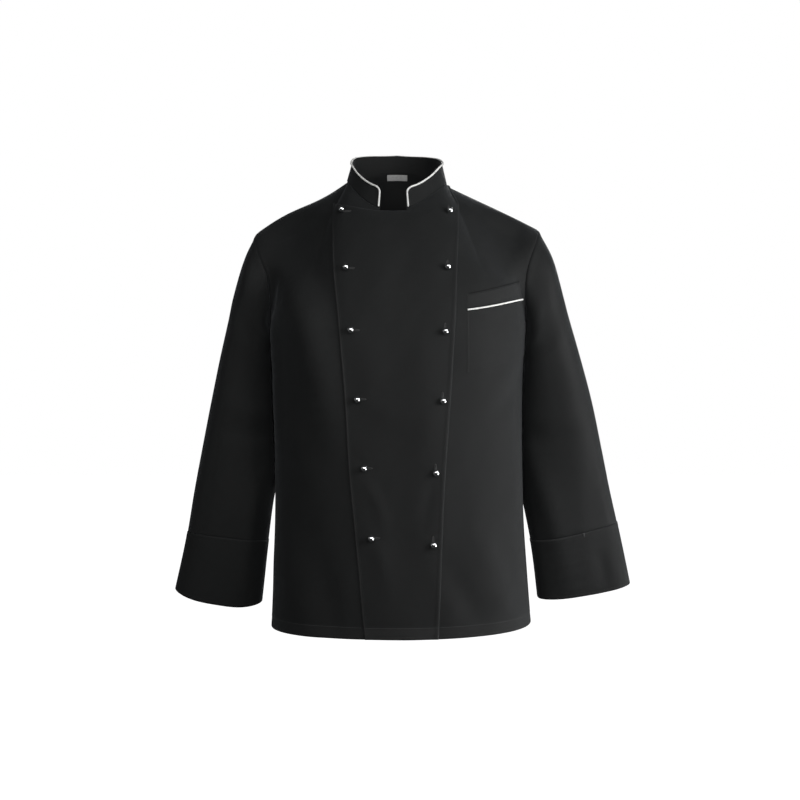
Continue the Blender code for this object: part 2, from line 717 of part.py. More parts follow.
def wall_mesh(outer, inner, cells=None, closed=False, reference=None):
    """Triangles of a wall over the chosen cells, with its rims closed.

    A rim's quads are split from the end that lies further left and up, so
    that both pieces of a seam split them alike and stay parted.
    """
    rows, columns = outer.shape[:2]
    places = (outer if reference is None else reference).reshape(-1, 3)
    order = np.round(places, SAME_PLACE) @ np.array(SPLIT_DIRECTION)
    if cells is None:
        cells = np.ones((rows - 1, columns if closed else columns - 1), bool)
    count = rows * columns
    used, edges = [], {}
    for row, column in zip(*np.nonzero(cells)):
        after = (column + 1) % columns
        corners = (row * columns + column, row * columns + after,
                   (row + 1) * columns + after, (row + 1) * columns + column)
        used.append(corners[:3])
        used.append((corners[0], corners[2], corners[3]))
        for start, end in zip(corners, corners[1:] + corners[:1]):
            if (end, start) in edges:
                del edges[(end, start)]
            else:
                edges[(start, end)] = True
    faces = list(used)
    faces += [tuple(count + corner for corner in reversed(face)) for face in used]
    for start, end in edges:
        if order[start] > order[end]:
            faces.append((end, start, count + start))
            faces.append((end, count + start, count + end))
        else:
            faces.append((end, start, count + end))
            faces.append((start, count + start, count + end))
    vertices = np.concatenate([outer.reshape(-1, 3), inner.reshape(-1, 3)])
    kept = sorted({corner for face in faces for corner in face})
    place = {old: new for new, old in enumerate(kept)}
    faces = [tuple(int(place[corner]) for corner in face) for face in faces]
    return vertices[kept], faces


def share_normals(sheets, extra):
    """Give pieces that meet at a seam the same normals there.

    The extra rows hold armhole points, their direction away from its middle
    and how far the seam lies open: at the armpit body and sleeve hang side
    by side, and only the direction away parts their outer and inner faces.
    """
    gathered = {}
    for sheet in sheets:
        for key in sheet.edge_keys():
            place = tuple(np.round(sheet.grid[key], SAME_PLACE))
            gathered.setdefault(place, []).append((sheet, key))
    added = {tuple(np.round(point, SAME_PLACE)): (away, opened) for point, away, opened in extra}
    for place, members in gathered.items():
        total = sum(sheet.normals[key] for sheet, key in members)
        if place in added:
            away, opened = added[place]
            total = total * opened + away
        for sheet, key in members:
            sheet.normals[key] = unit(total)


def bridge_normals(collar, shared):
    """Lay the collar's added base columns straight between the shared ones."""
    keys = {tuple(np.round(point, SAME_PLACE)) for point in shared}
    base = collar.grid[0]
    along = np.concatenate([[0.0], np.cumsum(np.linalg.norm(np.diff(base, axis=0), axis=1))])
    known = np.array([tuple(np.round(point, SAME_PLACE)) in keys for point in base])
    normals = collar.normals[0]
    collar.normals[0] = unit(np.stack(
        [np.interp(along, along[known], normals[known, axis]) for axis in range(3)], axis=1))


def add_tube(name, path, radius, finish, sides=ROUND_SIDES):
    """A round cord along a path of points, with flat ends."""
    ahead = unit(np.gradient(path, axis=0))
    up = np.array([0.0, 0.0, 1.0])
    aside = unit(np.cross(ahead, up + ahead[:, [1, 2, 0]] * 0.01))
    over = np.cross(aside, ahead)
    turns = np.arange(sides) * 2 * np.pi / sides
    rings = (path[:, None] + radius * (np.cos(turns)[None, :, None] * aside[:, None]
                                       + np.sin(turns)[None, :, None] * over[:, None]))
    count = len(path)
    faces = []
    for row in range(count - 1):
        for column in range(sides):
            after = (column + 1) % sides
            low, high = row * sides, (row + 1) * sides
            faces.append((low + column, high + column, high + after, low + after))
    faces.append(tuple(range(sides)))
    faces.append(tuple(range(count * sides - 1, (count - 1) * sides - 1, -1)))
    return add_object(name, rings.reshape(-1, 3), faces, finish)


# ---------------------------------------------------------------- pieces


def collar_sheet(front, back, marks):
    """The stand collar on the neckline that fronts and back leave."""
    tuck, free_edge = marks["tuck"], marks["free_edge"]
    left_part = front[-1, marks["collar_left"]:tuck + 1]
    right_part = front[-1, free_edge + 1:marks["collar_right"] + 1]
    behind = back[-1, SIDE_COLUMNS + 1:SIDE_COLUMNS + NECK_COLUMNS + 2]
    base = np.concatenate([left_part[:-1], behind, right_part[1:]])
    right_end, left_end = (neck_share(np.radians(turn)) for turn in (COLLAR_RIGHT_TURN, COLLAR_LEFT_TURN))
    left_turn = neck_turn(np.linspace(left_end, 1.0, HALF_NECK_COLUMNS + 1))
    right_turn = neck_turn(np.linspace(-1.0, right_end, HALF_NECK_COLUMNS + 1)) + 2 * np.pi
    back_turn = np.pi - neck_turn(np.linspace(1.0, -1.0, NECK_COLUMNS + 1))
    turns = np.concatenate([left_turn[:-1], back_turn, right_turn[1:]])
    base, turns, distance = with_corner_columns(base, turns)
    rim = collar_rim(turns)
    corner = np.clip(COLLAR_CORNER - distance, 0.0, None)
    drop = COLLAR_CORNER - np.sqrt(COLLAR_CORNER**2 - corner**2)
    height = np.linalg.norm(rim - base, axis=1)
    reach = 1.0 - drop / height
    shares_up = np.linspace(0.0, 1.0, COLLAR_ROWS + 1)[:, None] * reach
    grid = base + (rim - base) * shares_up[..., None]
    return Sheet("collar", grid, COLLAR_WALL / 3, COLLAR_WALL * 2 / 3, seams="bottom")


def with_corner_columns(base, turns):
    """Add columns near both collar ends, on the straight stretch there."""
    steps = np.linalg.norm(np.diff(base, axis=0), axis=1)
    along = np.concatenate([[0.0], np.cumsum(steps)])
    extra = COLLAR_CORNER * (1.0 - np.cos(np.radians(CORNER_TURNS)))
    places = np.unique(np.round(np.concatenate([along, extra, along[-1] - extra]), 6))
    apart = np.concatenate([[True], np.diff(places) > CORNER_SPACING])
    places = places[apart]
    fine = np.stack([np.interp(places, along, base[:, axis]) for axis in range(3)], axis=1)
    distance = np.minimum(places, places[-1] - places)
    return fine, np.interp(places, along, turns), distance


def collar_piping_path(collar):
    """Line just inside the collar's outer edge, a cord's radius off it."""
    outer, _ = collar.faces_of_wall()
    normals = collar.normals
    rows = np.linspace(0.0, 1.0, COLLAR_ROWS + 1)
    off = PIPING_RADIUS + SEAM_GAP

    def at(column, share):
        point = np.array([np.interp(share, rows, outer[:, column, axis]) for axis in range(3)])
        normal = np.array([np.interp(share, rows, normals[:, column, axis]) for axis in range(3)])
        return point + unit(normal) * off

    columns = outer.shape[1]
    start = [at(1, share) for share in PIPING_RISE]
    top = [at(column, 1.0 - PIPING_INSET) for column in range(1, columns - 1)]
    end = [at(columns - 2, share) for share in reversed(PIPING_RISE)]
    return np.array(start + top + end)


def point_on_overlap(outer, cells, across, height):
    """Point and normal of the overlap's outer triangles at a front place."""
    for row, column in zip(*np.nonzero(cells)):
        corners = (outer[row, column], outer[row, column + 1],
                   outer[row + 1, column + 1], outer[row + 1, column])
        for first, second, third in ((0, 1, 2), (0, 2, 3)):
            triangle = np.array([corners[first], corners[second], corners[third]])
            flat = np.stack([triangle[:, 0], triangle[:, 2], np.ones(3)])
            shares = np.linalg.solve(flat, np.array([across, height, 1.0]))
            if np.all(shares >= -1e-6):
                normal = unit(np.cross(triangle[1] - triangle[0], triangle[2] - triangle[0]))
                return shares @ triangle, normal
    raise ValueError("no cloth of the overlap at this place")


def add_stud(name, place, normal):
    """A ball on a short foot, turned round the cloth's normal."""
    foot = place + normal * SEAM_GAP
    aside = unit(np.cross(normal, [0.0, 0.0, 1.0]))
    over = np.cross(normal, aside)
    meet = np.sqrt(STUD_RADIUS**2 - STUD_FOOT_RADIUS**2)
    centre = STUD_FOOT_HEIGHT + meet
    lowest = np.arcsin(-meet / STUD_RADIUS)
    arcs = np.linspace(lowest, np.pi / 2, STUD_RINGS + 1)[:-1]
    profile = [(STUD_FOOT_RADIUS, 0.0)]
    profile += [(STUD_RADIUS * np.cos(arc), centre + STUD_RADIUS * np.sin(arc)) for arc in arcs]
    turns = np.arange(STUD_SIDES) * 2 * np.pi / STUD_SIDES
    round_about = np.cos(turns)[:, None] * aside + np.sin(turns)[:, None] * over
    vertices = np.concatenate([foot + radius * round_about + height * normal
                               for radius, height in profile])
    top = foot + (centre + STUD_RADIUS) * normal
    vertices = np.concatenate([vertices, top[None]])
    faces = [tuple(range(STUD_SIDES))[::-1]]
    for row in range(len(profile) - 1):
        for column in range(STUD_SIDES):
            after = (column + 1) % STUD_SIDES
            low, high = row * STUD_SIDES, (row + 1) * STUD_SIDES
            faces.append((low + column, low + after, high + after, high + column))
    last = (len(profile) - 1) * STUD_SIDES
    for column in range(STUD_SIDES):
        faces.append((last + column, last + (column + 1) % STUD_SIDES, len(vertices) - 1))
    return add_object(name, vertices, faces, POLISHED_STEEL)


def pocket_level(panel):
    """Negative drop below the pocket's top line, stretched where the band widens."""
    side = panel[..., 0] - POCKET_NEAR
    below = POCKET_TOP + POCKET_SLOPE * side + POCKET_CURVE * side**2 - panel[..., 2]
    spread = POCKET_SPREAD * side / (1.0 - POCKET_BAND / POCKET_DEPTH)
    root = np.sqrt(np.maximum((1.0 + spread)**2 - 4.0 * spread * below / POCKET_DEPTH, 1e-4))
    return -2.0 * below / (1.0 + spread + root)


def pocket_grid(panel, top_drop, bottom_drop, rows):
    """Patch on the left front's points between two drops below the top line."""
    level = pocket_level(panel)
    wanted = -np.linspace(bottom_drop, top_drop, rows + 1)
    lines = np.array([[np.interp(wanted, level[:, column], panel[:, column, axis]) for axis in range(3)]
                      for column in range(panel.shape[1])])
    grid = []
    for line in lines.transpose(2, 0, 1):
        along = np.concatenate([[0.0], np.cumsum(np.linalg.norm(np.diff(line, axis=0), axis=1))])
        near = np.interp(POCKET_NEAR, line[:, 0], along)
        far = along[-2] + (along[-1] - along[-2]) * POCKET_FAR_SHARE
        places = np.linspace(near, far, POCKET_COLUMNS + 1)
        grid.append(np.stack([np.interp(places, along, line[:, axis]) for axis in range(3)], axis=1))
    return np.array(grid)


def add_pocket(panel):
    """Breast pocket: patch, band and the piping between them."""
    room = POCKET_PIPING_RADIUS + SEAM_GAP
    above = POCKET_LIFT + POCKET_WALL
    patch = pocket_grid(panel, POCKET_BAND + room, POCKET_DEPTH, PATCH_ROWS)
    Sheet("pocket", patch, above, -POCKET_LIFT).build(BLACK_TWILL)
    band = pocket_grid(panel, 0.0, POCKET_BAND - room, BAND_ROWS)
    Sheet("pocket_band", band, above, -POCKET_LIFT).build(BLACK_TWILL)
    line = pocket_grid(panel, POCKET_BAND - room, POCKET_BAND + room, BAND_ROWS)
    cord = Sheet("pocket_piping", line, POCKET_LIFT + POCKET_PIPING_RADIUS, 0.0)
    path = cord.faces_of_wall()[0][BAND_ROWS // 2]
    add_tube(cord.name, path, POCKET_PIPING_RADIUS, WHITE_PIPING)


def add_label(back_sheet):
    """Blank woven tab on the inside of the back, under the neck seam."""
    middle = SIDE_COLUMNS + 1 + NECK_COLUMNS // 2
    inner = back_sheet.faces_of_wall()[1]
    columns = inner[:, middle - 1:middle + 2]
    normals = back_sheet.normals[-1, middle - 1:middle + 2]
    cell = np.linalg.norm(columns[-1, 1] - columns[-1, 0])
    columns = columns[:, 1:2] + (columns - columns[:, 1:2]) * (LABEL_WIDTH / 2 / cell)
    length = np.linalg.norm(columns[-1, 1] - columns[-2, 1])
    ends = [(LABEL_DROP + LABEL_HEIGHT) / length, LABEL_DROP / length]
    grid = np.array([columns[-1] + (columns[-2] - columns[-1]) * share for share in ends])
    near = grid - normals * LABEL_LIFT
    far = grid - normals * (LABEL_LIFT + LABEL_WALL)
    vertices, faces = wall_mesh(near, far)
    add_object("neck_label", vertices, faces, GREY_LABEL)


def armhole_ring(front, back, side):
    """Armhole points in order: armpit, front, shoulder, back."""
    start = BODY_ROWS
    if side < 0:
        ahead, behind = front[start:, 0], back[start:, -1]
        return np.concatenate([ahead, behind[-2:0:-1]])
    ahead, behind = front[start:, -1], back[start:, 0]
    return np.concatenate([behind, ahead[-2:0:-1]])


def build_jacket():
    """Cut every piece, part them at the seams and build them."""
    front, marks = front_grid()
    back = back_grid()
    tuck, seam = marks["tuck"], marks["seam"]
    free_edge, over_row = marks["free_edge"], marks["overlap_top"]
    rows = front.shape[0] - 1

    under = np.ones((rows, tuck), bool)
    under[over_row:, marks["collar_right"]:] = False
    right_front = Sheet("right_front", front[:, :tuck + 1], 0.0, WALL,
                        seams="first last top", cells=under)
    left_front = Sheet("left_front", front[:, tuck:], 0.0, WALL, seams="first last top")
    upper = np.ones((rows, seam - free_edge), bool)
    upper[over_row:, :marks["collar_left"] - free_edge] = False
    overlap = Sheet("front_overlap", front[:, free_edge:seam + 1], LAYER_STEP, -SEAM_GAP,
                    seams="top", cells=upper)
    back_sheet = Sheet("back", back, 0.0, WALL, seams="first last top")
    whole = Sheet("front", front, 0.0, WALL)
    right_front.normals = whole.normals[:, :tuck + 1].copy()
    left_front.normals = whole.normals[:, tuck:].copy()
    overlap.normals = whole.normals[:, free_edge:seam + 1].copy()
    collar = collar_sheet(front, back, marks)

    sleeves, cuffs, extra = [], [], []
    arms = ((-1, "right", SLEEVE_RIGHT, CUFF_RIGHT), (1, "left", SLEEVE_LEFT, CUFF_LEFT))
    for side, word, rings, cuff in arms:
        ring = armhole_ring(front, back, side)
        upper_part, lower_part = arm_grid(side, ring, rings, cuff)
        sleeves.append(Sheet(f"{word}_sleeve", upper_part, 0.0, WALL, seams="bottom top", closed=True))
        cuffs.append(Sheet(f"{word}_cuff", lower_part, CUFF_PROUD, WALL - CUFF_PROUD,
                           seams="bottom", closed=True))
        middle = ring.mean(axis=0)
        away = unit((ring - middle) * np.array([0.0, 1.0, 1.0]))
        height = ring[:, 2] - ARMPIT_HEIGHT
        opened = ease(height / (ARMHOLE_OPENS * height.max()))
        extra += list(zip(ring, away, opened))

    share_normals([right_front, left_front, back_sheet, collar] + sleeves + cuffs, extra)
    bridge_normals(collar, np.concatenate([front[-1], back[-1]]))
    copy_shared_normals(right_front, left_front, overlap, collar, marks)
    for sheet in [right_front, left_front, overlap, back_sheet, collar] + sleeves + cuffs:
        sheet.build(BLACK_TWILL)
    add_tube("collar_piping", collar_piping_path(collar), PIPING_RADIUS, WHITE_PIPING)
    add_pocket(front[:, tuck:])
    add_label(back_sheet)

    outer, _ = overlap.faces_of_wall()
    turns = np.arange(STUD_SIDES) * 2 * np.pi / STUD_SIDES
    reach = STUD_FOOT_RADIUS + SEAM_GAP
    for number, stud in enumerate(STUDS, start=1):
        for word, across, height in (("right", stud.right, stud.right_height),
                                     ("left", stud.left, stud.left_height)):
            place, normal = point_on_overlap(outer, upper, across, height)
            around = [point_on_overlap(outer, upper, across + reach * np.cos(turn),
                                       height + reach * np.sin(turn))[0] for turn in turns]
            highest = max(0.0, *((np.array(around) - place) @ normal))
            add_stud(f"stud_{word}_{number}", place + normal * highest, normal)


def copy_shared_normals(right_front, left_front, overlap, collar, marks):
    """Let the overlap's neckline lean as the collar's seam does."""
    wanted = {tuple(np.round(point, SAME_PLACE)): normal
              for point, normal in zip(collar.grid[0], collar.normals[0])}
    for column in range(overlap.grid.shape[1]):
        key = tuple(np.round(overlap.grid[-1, column], SAME_PLACE))
        if key in wanted:
            overlap.normals[-1, column] = wanted[key]
    free_edge, seam, tuck = marks["free_edge"], marks["seam"], marks["tuck"]
    overlap.normals[-1, seam - free_edge] = left_front.normals[-1, seam - tuck]


clear_scene()
build_jacket()
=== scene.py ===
"""Looks of a black double-breasted chef jacket, filled out as when it is worn.

Cloth panels with creases, stitched seams, worked buttonholes, metal ball studs
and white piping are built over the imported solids, in metres and in their frame:
+Z up, the front looks along -Y, +X is the wearer's left, and the origin is the
middle of the neck, level with the neck points of the shoulder seams.
"""
import logging
from dataclasses import dataclass, field
from enum import Enum
from typing import NamedTuple

import bpy
import numpy as np
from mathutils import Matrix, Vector


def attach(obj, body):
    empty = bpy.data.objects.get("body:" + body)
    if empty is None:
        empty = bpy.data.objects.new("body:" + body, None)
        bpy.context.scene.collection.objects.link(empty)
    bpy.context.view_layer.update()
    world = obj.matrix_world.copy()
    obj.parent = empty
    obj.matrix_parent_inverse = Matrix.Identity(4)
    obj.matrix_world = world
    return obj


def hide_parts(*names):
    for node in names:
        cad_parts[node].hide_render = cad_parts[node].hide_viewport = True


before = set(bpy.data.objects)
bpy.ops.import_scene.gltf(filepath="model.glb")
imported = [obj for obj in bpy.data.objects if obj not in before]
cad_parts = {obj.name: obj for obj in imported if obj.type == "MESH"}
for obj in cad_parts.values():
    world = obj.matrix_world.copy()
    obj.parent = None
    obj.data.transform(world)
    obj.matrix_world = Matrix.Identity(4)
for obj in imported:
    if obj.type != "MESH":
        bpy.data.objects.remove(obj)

Array = np.ndarray
Number = float | Array
Piece = bpy.types.Object
Socket = bpy.types.NodeSocket

log = logging.getLogger("jacket")

BODY = "root"
SHARP_ANGLE = np.radians(50.0)
DENSE = 401                      # samples for reading a curve back
TARGET_CHUNK = 64                # targets of a distance that are compared at once
NEWTON_STEPS = 8                 # of the search for a place on a surface
NEWTON_SHARE = 0.8               # of each step that is taken
SEAM_PARTING = 0.00004           # gap between two pieces at a seam
EDGE_ROLL = 0.0016               # width over which an edge is rounded
SOFT_ROLL = 0.3                  # share of the wall that a less rounded edge loses


class Facing(Enum):
    """Which side of the body a panel covers."""

    FRONT = "front"
    BACK = "back"


class Hand(Enum):
    """The wearer's side, as the sign of x."""

    RIGHT = -1.0
    LEFT = 1.0

    @property
    def word(self) -> str:
        """The side's name in lower case."""
        return self.name.lower()


class Side(Enum):
    """A side of a panel: the axis that counts its grid's lines, and which of them it is."""

    BOTTOM = (0, 0)
    TOP = (0, -1)
    FIRST = (1, 0)
    LAST = (1, -1)

    @property
    def line(self) -> tuple:
        """Index of the side's points in a grid."""
        return (slice(None),) * self.value[0] + (self.value[1],)


class Cut(NamedTuple):
    """A sheet's width, length and area when it lies flat, and how it is held."""

    width: float
    length: float
    area: float
    held: str = "hung"


# ---- curves


def smooth(at: Number, places: list[float], values: Array) -> Array:
    """Cubic Hermite curve through a table, with finite-difference slopes, held at its ends.

    Args:
        at: Where to read the curve.
        places: Rising table positions.
        values: Table values, one row for each position.

    Returns:
        The curve's values, shaped like at plus the row shape.
    """
    places = np.asarray(places, float)
    values = np.asarray(values, float)
    at = np.asarray(at, float)
    slopes = np.gradient(values, places, axis=0)
    index = np.clip(np.searchsorted(places, at) - 1, 0, len(places) - 2)
    width = places[index + 1] - places[index]
    part = np.clip((at - places[index]) / width, 0.0, 1.0)
    if values.ndim > 1:
        shape = part.shape + (1,) * (values.ndim - 1)
        part, width = part.reshape(shape), width.reshape(shape)
    return hermite(part, values[index], slopes[index] * width, values[index + 1], slopes[index + 1] * width)


def hermite(part: Array, start: Array, pull_start: Array, end: Array, pull_end: Array) -> Array:
    """Cubic between two points: 2t^3-3t^2+1 of the start, 3t^2-2t^3 of the end, and their pulls.

    Args:
        part: Share of the way, 0 to 1.
        start: First point.
        pull_start: Slope at the first point.
        end: Last point.
        pull_end: Slope at the last point.

    Returns:
        Points of the cubic.
    """
    return ((2 * part**3 - 3 * part**2 + 1) * start + (part**3 - 2 * part**2 + part) * pull_start
            + (3 * part**2 - 2 * part**3) * end + (part**3 - part**2) * pull_end)


def ease(part: Number) -> Array:
    """Smooth step, 3t^2-2t^3, held at 0 and 1."""
    part = np.clip(part, 0.0, 1.0)
    return part * part * (3.0 - 2.0 * part)


def unit(vectors: Array) -> Array:
    """Vectors divided by their length."""
    return vectors / np.maximum(np.linalg.norm(vectors, axis=-1, keepdims=True), 1e-12)


def bulged(value: Array, power: Number) -> Array:
    """A power of a value's size, with the value's sign."""
    return np.sign(value) * np.abs(value) ** power


def stack(x: Number, y: Number, z: Number) -> Array:
    """Join three coordinate arrays into points."""
    return np.stack(np.broadcast_arrays(x, y, z), axis=-1)


def slope(points: Array, axis: int) -> Array:
    """Mean direction of the steps before and after each point, both of length one.

    Args:
        points: Points, rows by columns.
        axis: The axis that the steps run along.

    Returns:
        One direction for each point.
    """
    steps = unit(np.diff(points, axis=axis))
    first, last = np.take(steps, [0], axis=axis), np.take(steps, [-1], axis=axis)
    return (np.concatenate([first, steps], axis=axis) + np.concatenate([steps, last], axis=axis)) / 2


def quads(*corners: Array) -> Array:
    """Faces of four corners, from four equally shaped arrays of point numbers."""
    return np.stack(corners, axis=-1).reshape(-1, 4)


def lengths(points: Array) -> Array:
    """Running length along a path of points, starting at 0."""
    steps = np.linalg.norm(np.diff(points, axis=0), axis=-1)
    return np.concatenate([np.zeros((1,) + steps.shape[1:]), np.cumsum(steps, axis=0)])


def along(points: Array, places: Array, wanted: Array) -> Array:
    """Points of a path read at given running lengths, straight between its own.

    Args:
        points: The path.
        places: Running length of each of its points.
        wanted: Lengths to read it at.

    Returns:
        One point for each wanted length.
    """
    return np.stack([np.interp(wanted, places, points[:, axis]) for axis in range(points.shape[1])], axis=1)


def sample(grid: Array, row: Array, column: Array) -> Array:
    """Bilinear reading of a grid at fractional rows and columns.

    Args:
        grid: Rows by columns, with any values.
        row: Fractional row numbers.
        column: Fractional column numbers.

    Returns:
        The values there.
    """
    row = np.clip(row, 0.0, grid.shape[0] - 1.0)
    column = np.clip(column, 0.0, grid.shape[1] - 1.0)
    low_row = np.minimum(row.astype(int), grid.shape[0] - 2)
    low_column = np.minimum(column.astype(int), grid.shape[1] - 2)
    part_row, part_column = row - low_row, column - low_column
    if grid.ndim == 3:
        part_row, part_column = part_row[..., None], part_column[..., None]
    low = grid[low_row, low_column] * (1 - part_column) + grid[low_row, low_column + 1] * part_column
    high = (grid[low_row + 1, low_column] * (1 - part_column)
            + grid[low_row + 1, low_column + 1] * part_column)
    return low * (1 - part_row) + high * part_row


def fine_steps(cells: int, parts: int, close: dict[int, tuple[float, ...]]) -> Array:
    """Positions that cut every coarse cell into equal parts, with extra lines beside some.

    Args:
        cells: Number of coarse cells.
        parts: Equal parts of each.
        close: Coarse line to the offsets from it at which lines are added.

    Returns:
        Rising positions counted in coarse cells.
    """
    steps = [np.linspace(0.0, cells, cells * parts + 1)]
    steps += [line + np.array(offsets) for line, offsets in close.items()]
    return np.unique(np.round(np.clip(np.concatenate(steps), 0.0, cells), 6))


# ---- folds


class Fold(NamedTuple):
    """A soft ridge (height above 0) or trough along an arc through three places, in millimetres.

    The places are across and up on the cloth, width is the half width of its
    bell and height how far it stands out.
    """

    start_across: float
    start_up: float
    middle_across: float
    middle_up: float
    end_across: float
    end_up: float
    width: float
    height: float


class Ripple(NamedTuple):
    """Long uneven waves: their length and height, lean and shift in radians."""

    length: float
    height: float
    lean: float
    phase: float


FOLD_SAMPLES = 21
FOLD_REACH = 3.2                 # bells are left out this many half widths away
FOLD_ENDS = 0.04                 # share of an arc by which its taper starts early
RIPPLES = {
    Facing.FRONT: (Ripple(0.145, 0.0007, 0.35, 0.6), Ripple(0.062, 0.00022, -0.5, 1.9)),
    Facing.BACK: (Ripple(0.160, 0.0009, 0.15, 2.2), Ripple(0.070, 0.00025, 0.6, 0.4)),
}


def fold_field(across: Array, up: Array, folds: tuple[Fold, ...], girth: float = 0.0) -> Array:
    """Sum of folds: height times a bell of the distance to the arc, tapered to both ends.

    Each arc is a quadratic curve. A place takes the strongest bell of the
    arc's samples, height * sin(pi t)^0.7 * exp(-(distance / width)^2).

    Args:
        across: Sideways coordinate of each place.
        up: Upward coordinate of each place.
        folds: The folds.
        girth: Length round a tube where across wraps, or 0.

    Returns:
        How far each place stands out.
    """
    total = np.zeros(np.shape(across))
    t = np.linspace(0.0, 1.0, FOLD_SAMPLES)[:, None]
    taper = np.sin(np.pi * (FOLD_ENDS + (1 - 2 * FOLD_ENDS) * t[:, 0])) ** 0.7
    for fold in folds:
        start, middle, end = np.reshape(fold[:6], (3, 2)) / 1000
        width, height = fold.width / 1000, fold.height / 1000
        path = (1 - t) ** 2 * start + 2 * t * (1 - t) * (2 * middle - (start + end) / 2) + t**2 * end
        lowest, highest = path.min(axis=0) - FOLD_REACH * width, path.max(axis=0) + FOLD_REACH * width
        near = (up > lowest[1]) & (up < highest[1])
        if not girth:
            near &= (across > lowest[0]) & (across < highest[0])
        if not near.any():
            continue
        aside = across[near][:, None] - path[:, 0]
        if girth:
            aside = (aside + girth / 2) % girth - girth / 2
        squared = (aside**2 + (up[near][:, None] - path[:, 1]) ** 2) / width**2
        total[near] += height * (taper * np.exp(-squared)).max(axis=1)
    return total


def rippled(across: Array, up: Array, ripple: Ripple) -> Array:
    """Two sines at a lean, the second 1.7 times shorter and half as high.

    Args:
        across: Sideways coordinate.
        up: Upward coordinate.
        ripple: The waves.

    Returns:
        The waves' height at each place.
    """
    turn, phase = 2 * np.pi / ripple.length, ripple.phase
    run = (across * np.cos(ripple.lean) + up * np.sin(ripple.lean)) * turn
    rest = (up * np.cos(ripple.lean) - across * np.sin(ripple.lean)) * turn
    first = np.sin(run + phase + 0.9 * np.sin(rest / 2.3 + phase))
    second = np.sin(1.7 * run + 2.1 * phase + np.sin(rest / 1.9))
    return ripple.height * (first + 0.5 * second)


BODY_FOLDS = {Facing.FRONT: (
    # drape from the right armhole down beside the overlap's free edge
    Fold(-226, -166, -160, -240, -122, -430, 34, 15),
    Fold(-150, -150, -124, -205, -108, -300, 20, -3),
    Fold(-205, -400, -150, -500, -118, -600, 30, 2.4),
    # pull under the right arm
    Fold(-222, -236, -209, -330, -207, -500, 9, 4.5),
    # hem of the right front
    Fold(-205, -560, -180, -660, -165, -765, 26, 3.4),
    Fold(-140, -600, -120, -690, -105, -768, 18, -2),
    # hollow under the left shoulder seam, over the fuller chest
    Fold(168, -62, 188, -84, 212, -110, 50, -16),
    Fold(118, -200, 165, -192, 210, -184, 38, 9),
    # hollow under the right shoulder seam
    Fold(-168, -60, -190, -84, -216, -110, 48, -12),
    # under the left arm and the pocket's corner
    Fold(205, -295, 185, -330, 150, -348, 10, 2.2),
    Fold(212, -330, 188, -372, 150, -400, 13, -2),
    Fold(186, -316, 176, -324, 164, -327, 5, 1.4),
    # low on the left front, running to the hem corner
    Fold(80, -480, 100, -545, 98, -610, 24, -2.6),
    Fold(72, -630, 100, -690, 140, -752, 20, -4.2),
    Fold(112, -570, 148, -650, 190, -735, 24, 3.8),
    Fold(160, -600, 188, -670, 212, -735, 15, -2.2),
    Fold(150, -700, 180, -728, 212, -760, 10, 2),
    Fold(195, -420, 196, -520, 205, -620, 14, 3),
    # round the studs
    Fold(-75, -470, -62, -486, -40, -492, 7, -1.4),
    Fold(-60, -514, -36, -548, -24, -600, 11, 2),
    Fold(-46, -614, -30, -640, -22, -690, 13, 1.6),
    Fold(60, -505, 46, -550, 40, -604, 12, -2.2),
    Fold(56, -560, 22, -590, -10, -650, 20, -1.8),
    Fold(-58, -378, -30, -396, 10, -400, 14, 1.2),
    # overlap, slack between its two rows of studs
    Fold(-70, -60, -20, -82, 50, -66, 20, 1.8),
    Fold(-20, -200, -12, -400, 2, -620, 34, -2),
    Fold(45, -160, 40, -330, 30, -560, 26, 1.6),
    Fold(-70, -230, -20, -262, 50, -250, 22, -1.2),
), Facing.BACK: (
    # from the shoulder blades down to the waist
    Fold(150, -130, 125, -330, 140, -560, 26, 4.5),
    Fold(-145, -140, -128, -350, -150, -590, 28, 4.5),
    Fold(200, -215, 172, -280, 105, -350, 16, 4),
    Fold(208, -262, 175, -330, 110, -395, 14, -3),
    Fold(-202, -210, -168, -285, -112, -330, 15, 4.2),
    Fold(-210, -270, -172, -345, -100, -430, 16, -3.4),
    # slack of the waist
    Fold(160, -430, 60, -462, -40, -448, 18, -3.2),
    Fold(-170, -455, -80, -488, 10, -500, 16, 3),
    Fold(110, -500, 20, -530, -60, -522, 15, 2.4),
    # hem
    Fold(70, -560, 80, -660, 60, -768, 26, 4),
    Fold(-30, -580, -20, -680, -30, -768, 22, -3.5),
    Fold(-120, -600, -105, -700, -118, -768, 24, 3.6),
    Fold(165, -620, 170, -700, 160, -768, 18, -3),
)}

# across is the way round the sleeve from its inner line towards the front,
# up is the way down from the armhole, counted negative
SLEEVE_FOLDS = (
    # fullness that squares the inner front, down to the elbow
    Fold(30, -30, 30, -170, 36, -340, 22, 6),
    # under the armpit
    Fold(20, -30, 60, -66, 110, -82, 12, 2),
    Fold(10, -70, 55, -100, 115, -112, 12, -1.6),
    Fold(-10, -50, -60, -95, -130, -110, 14, 4),
    # upper arm, outer side
    Fold(215, -60, 170, -110, 110, -140, 18, 2),
    Fold(-190, -70, -160, -130, -100, -170, 18, 3.2),
    # bend of the elbow
    Fold(40, -210, 90, -236, 150, -232, 18, 2),
    Fold(30, -250, 85, -274, 140, -284, 16, -1.6),
    Fold(-20, -215, -80, -250, -150, -262, 16, 4.4),
    Fold(-10, -270, -70, -310, -140, -322, 15, -3.4),
    # down to the cuff
    Fold(-60, -340, -80, -400, -75, -460, 18, 3.2),
    Fold(-150, -330, -160, -390, -150, -450, 18, -2.8),
)

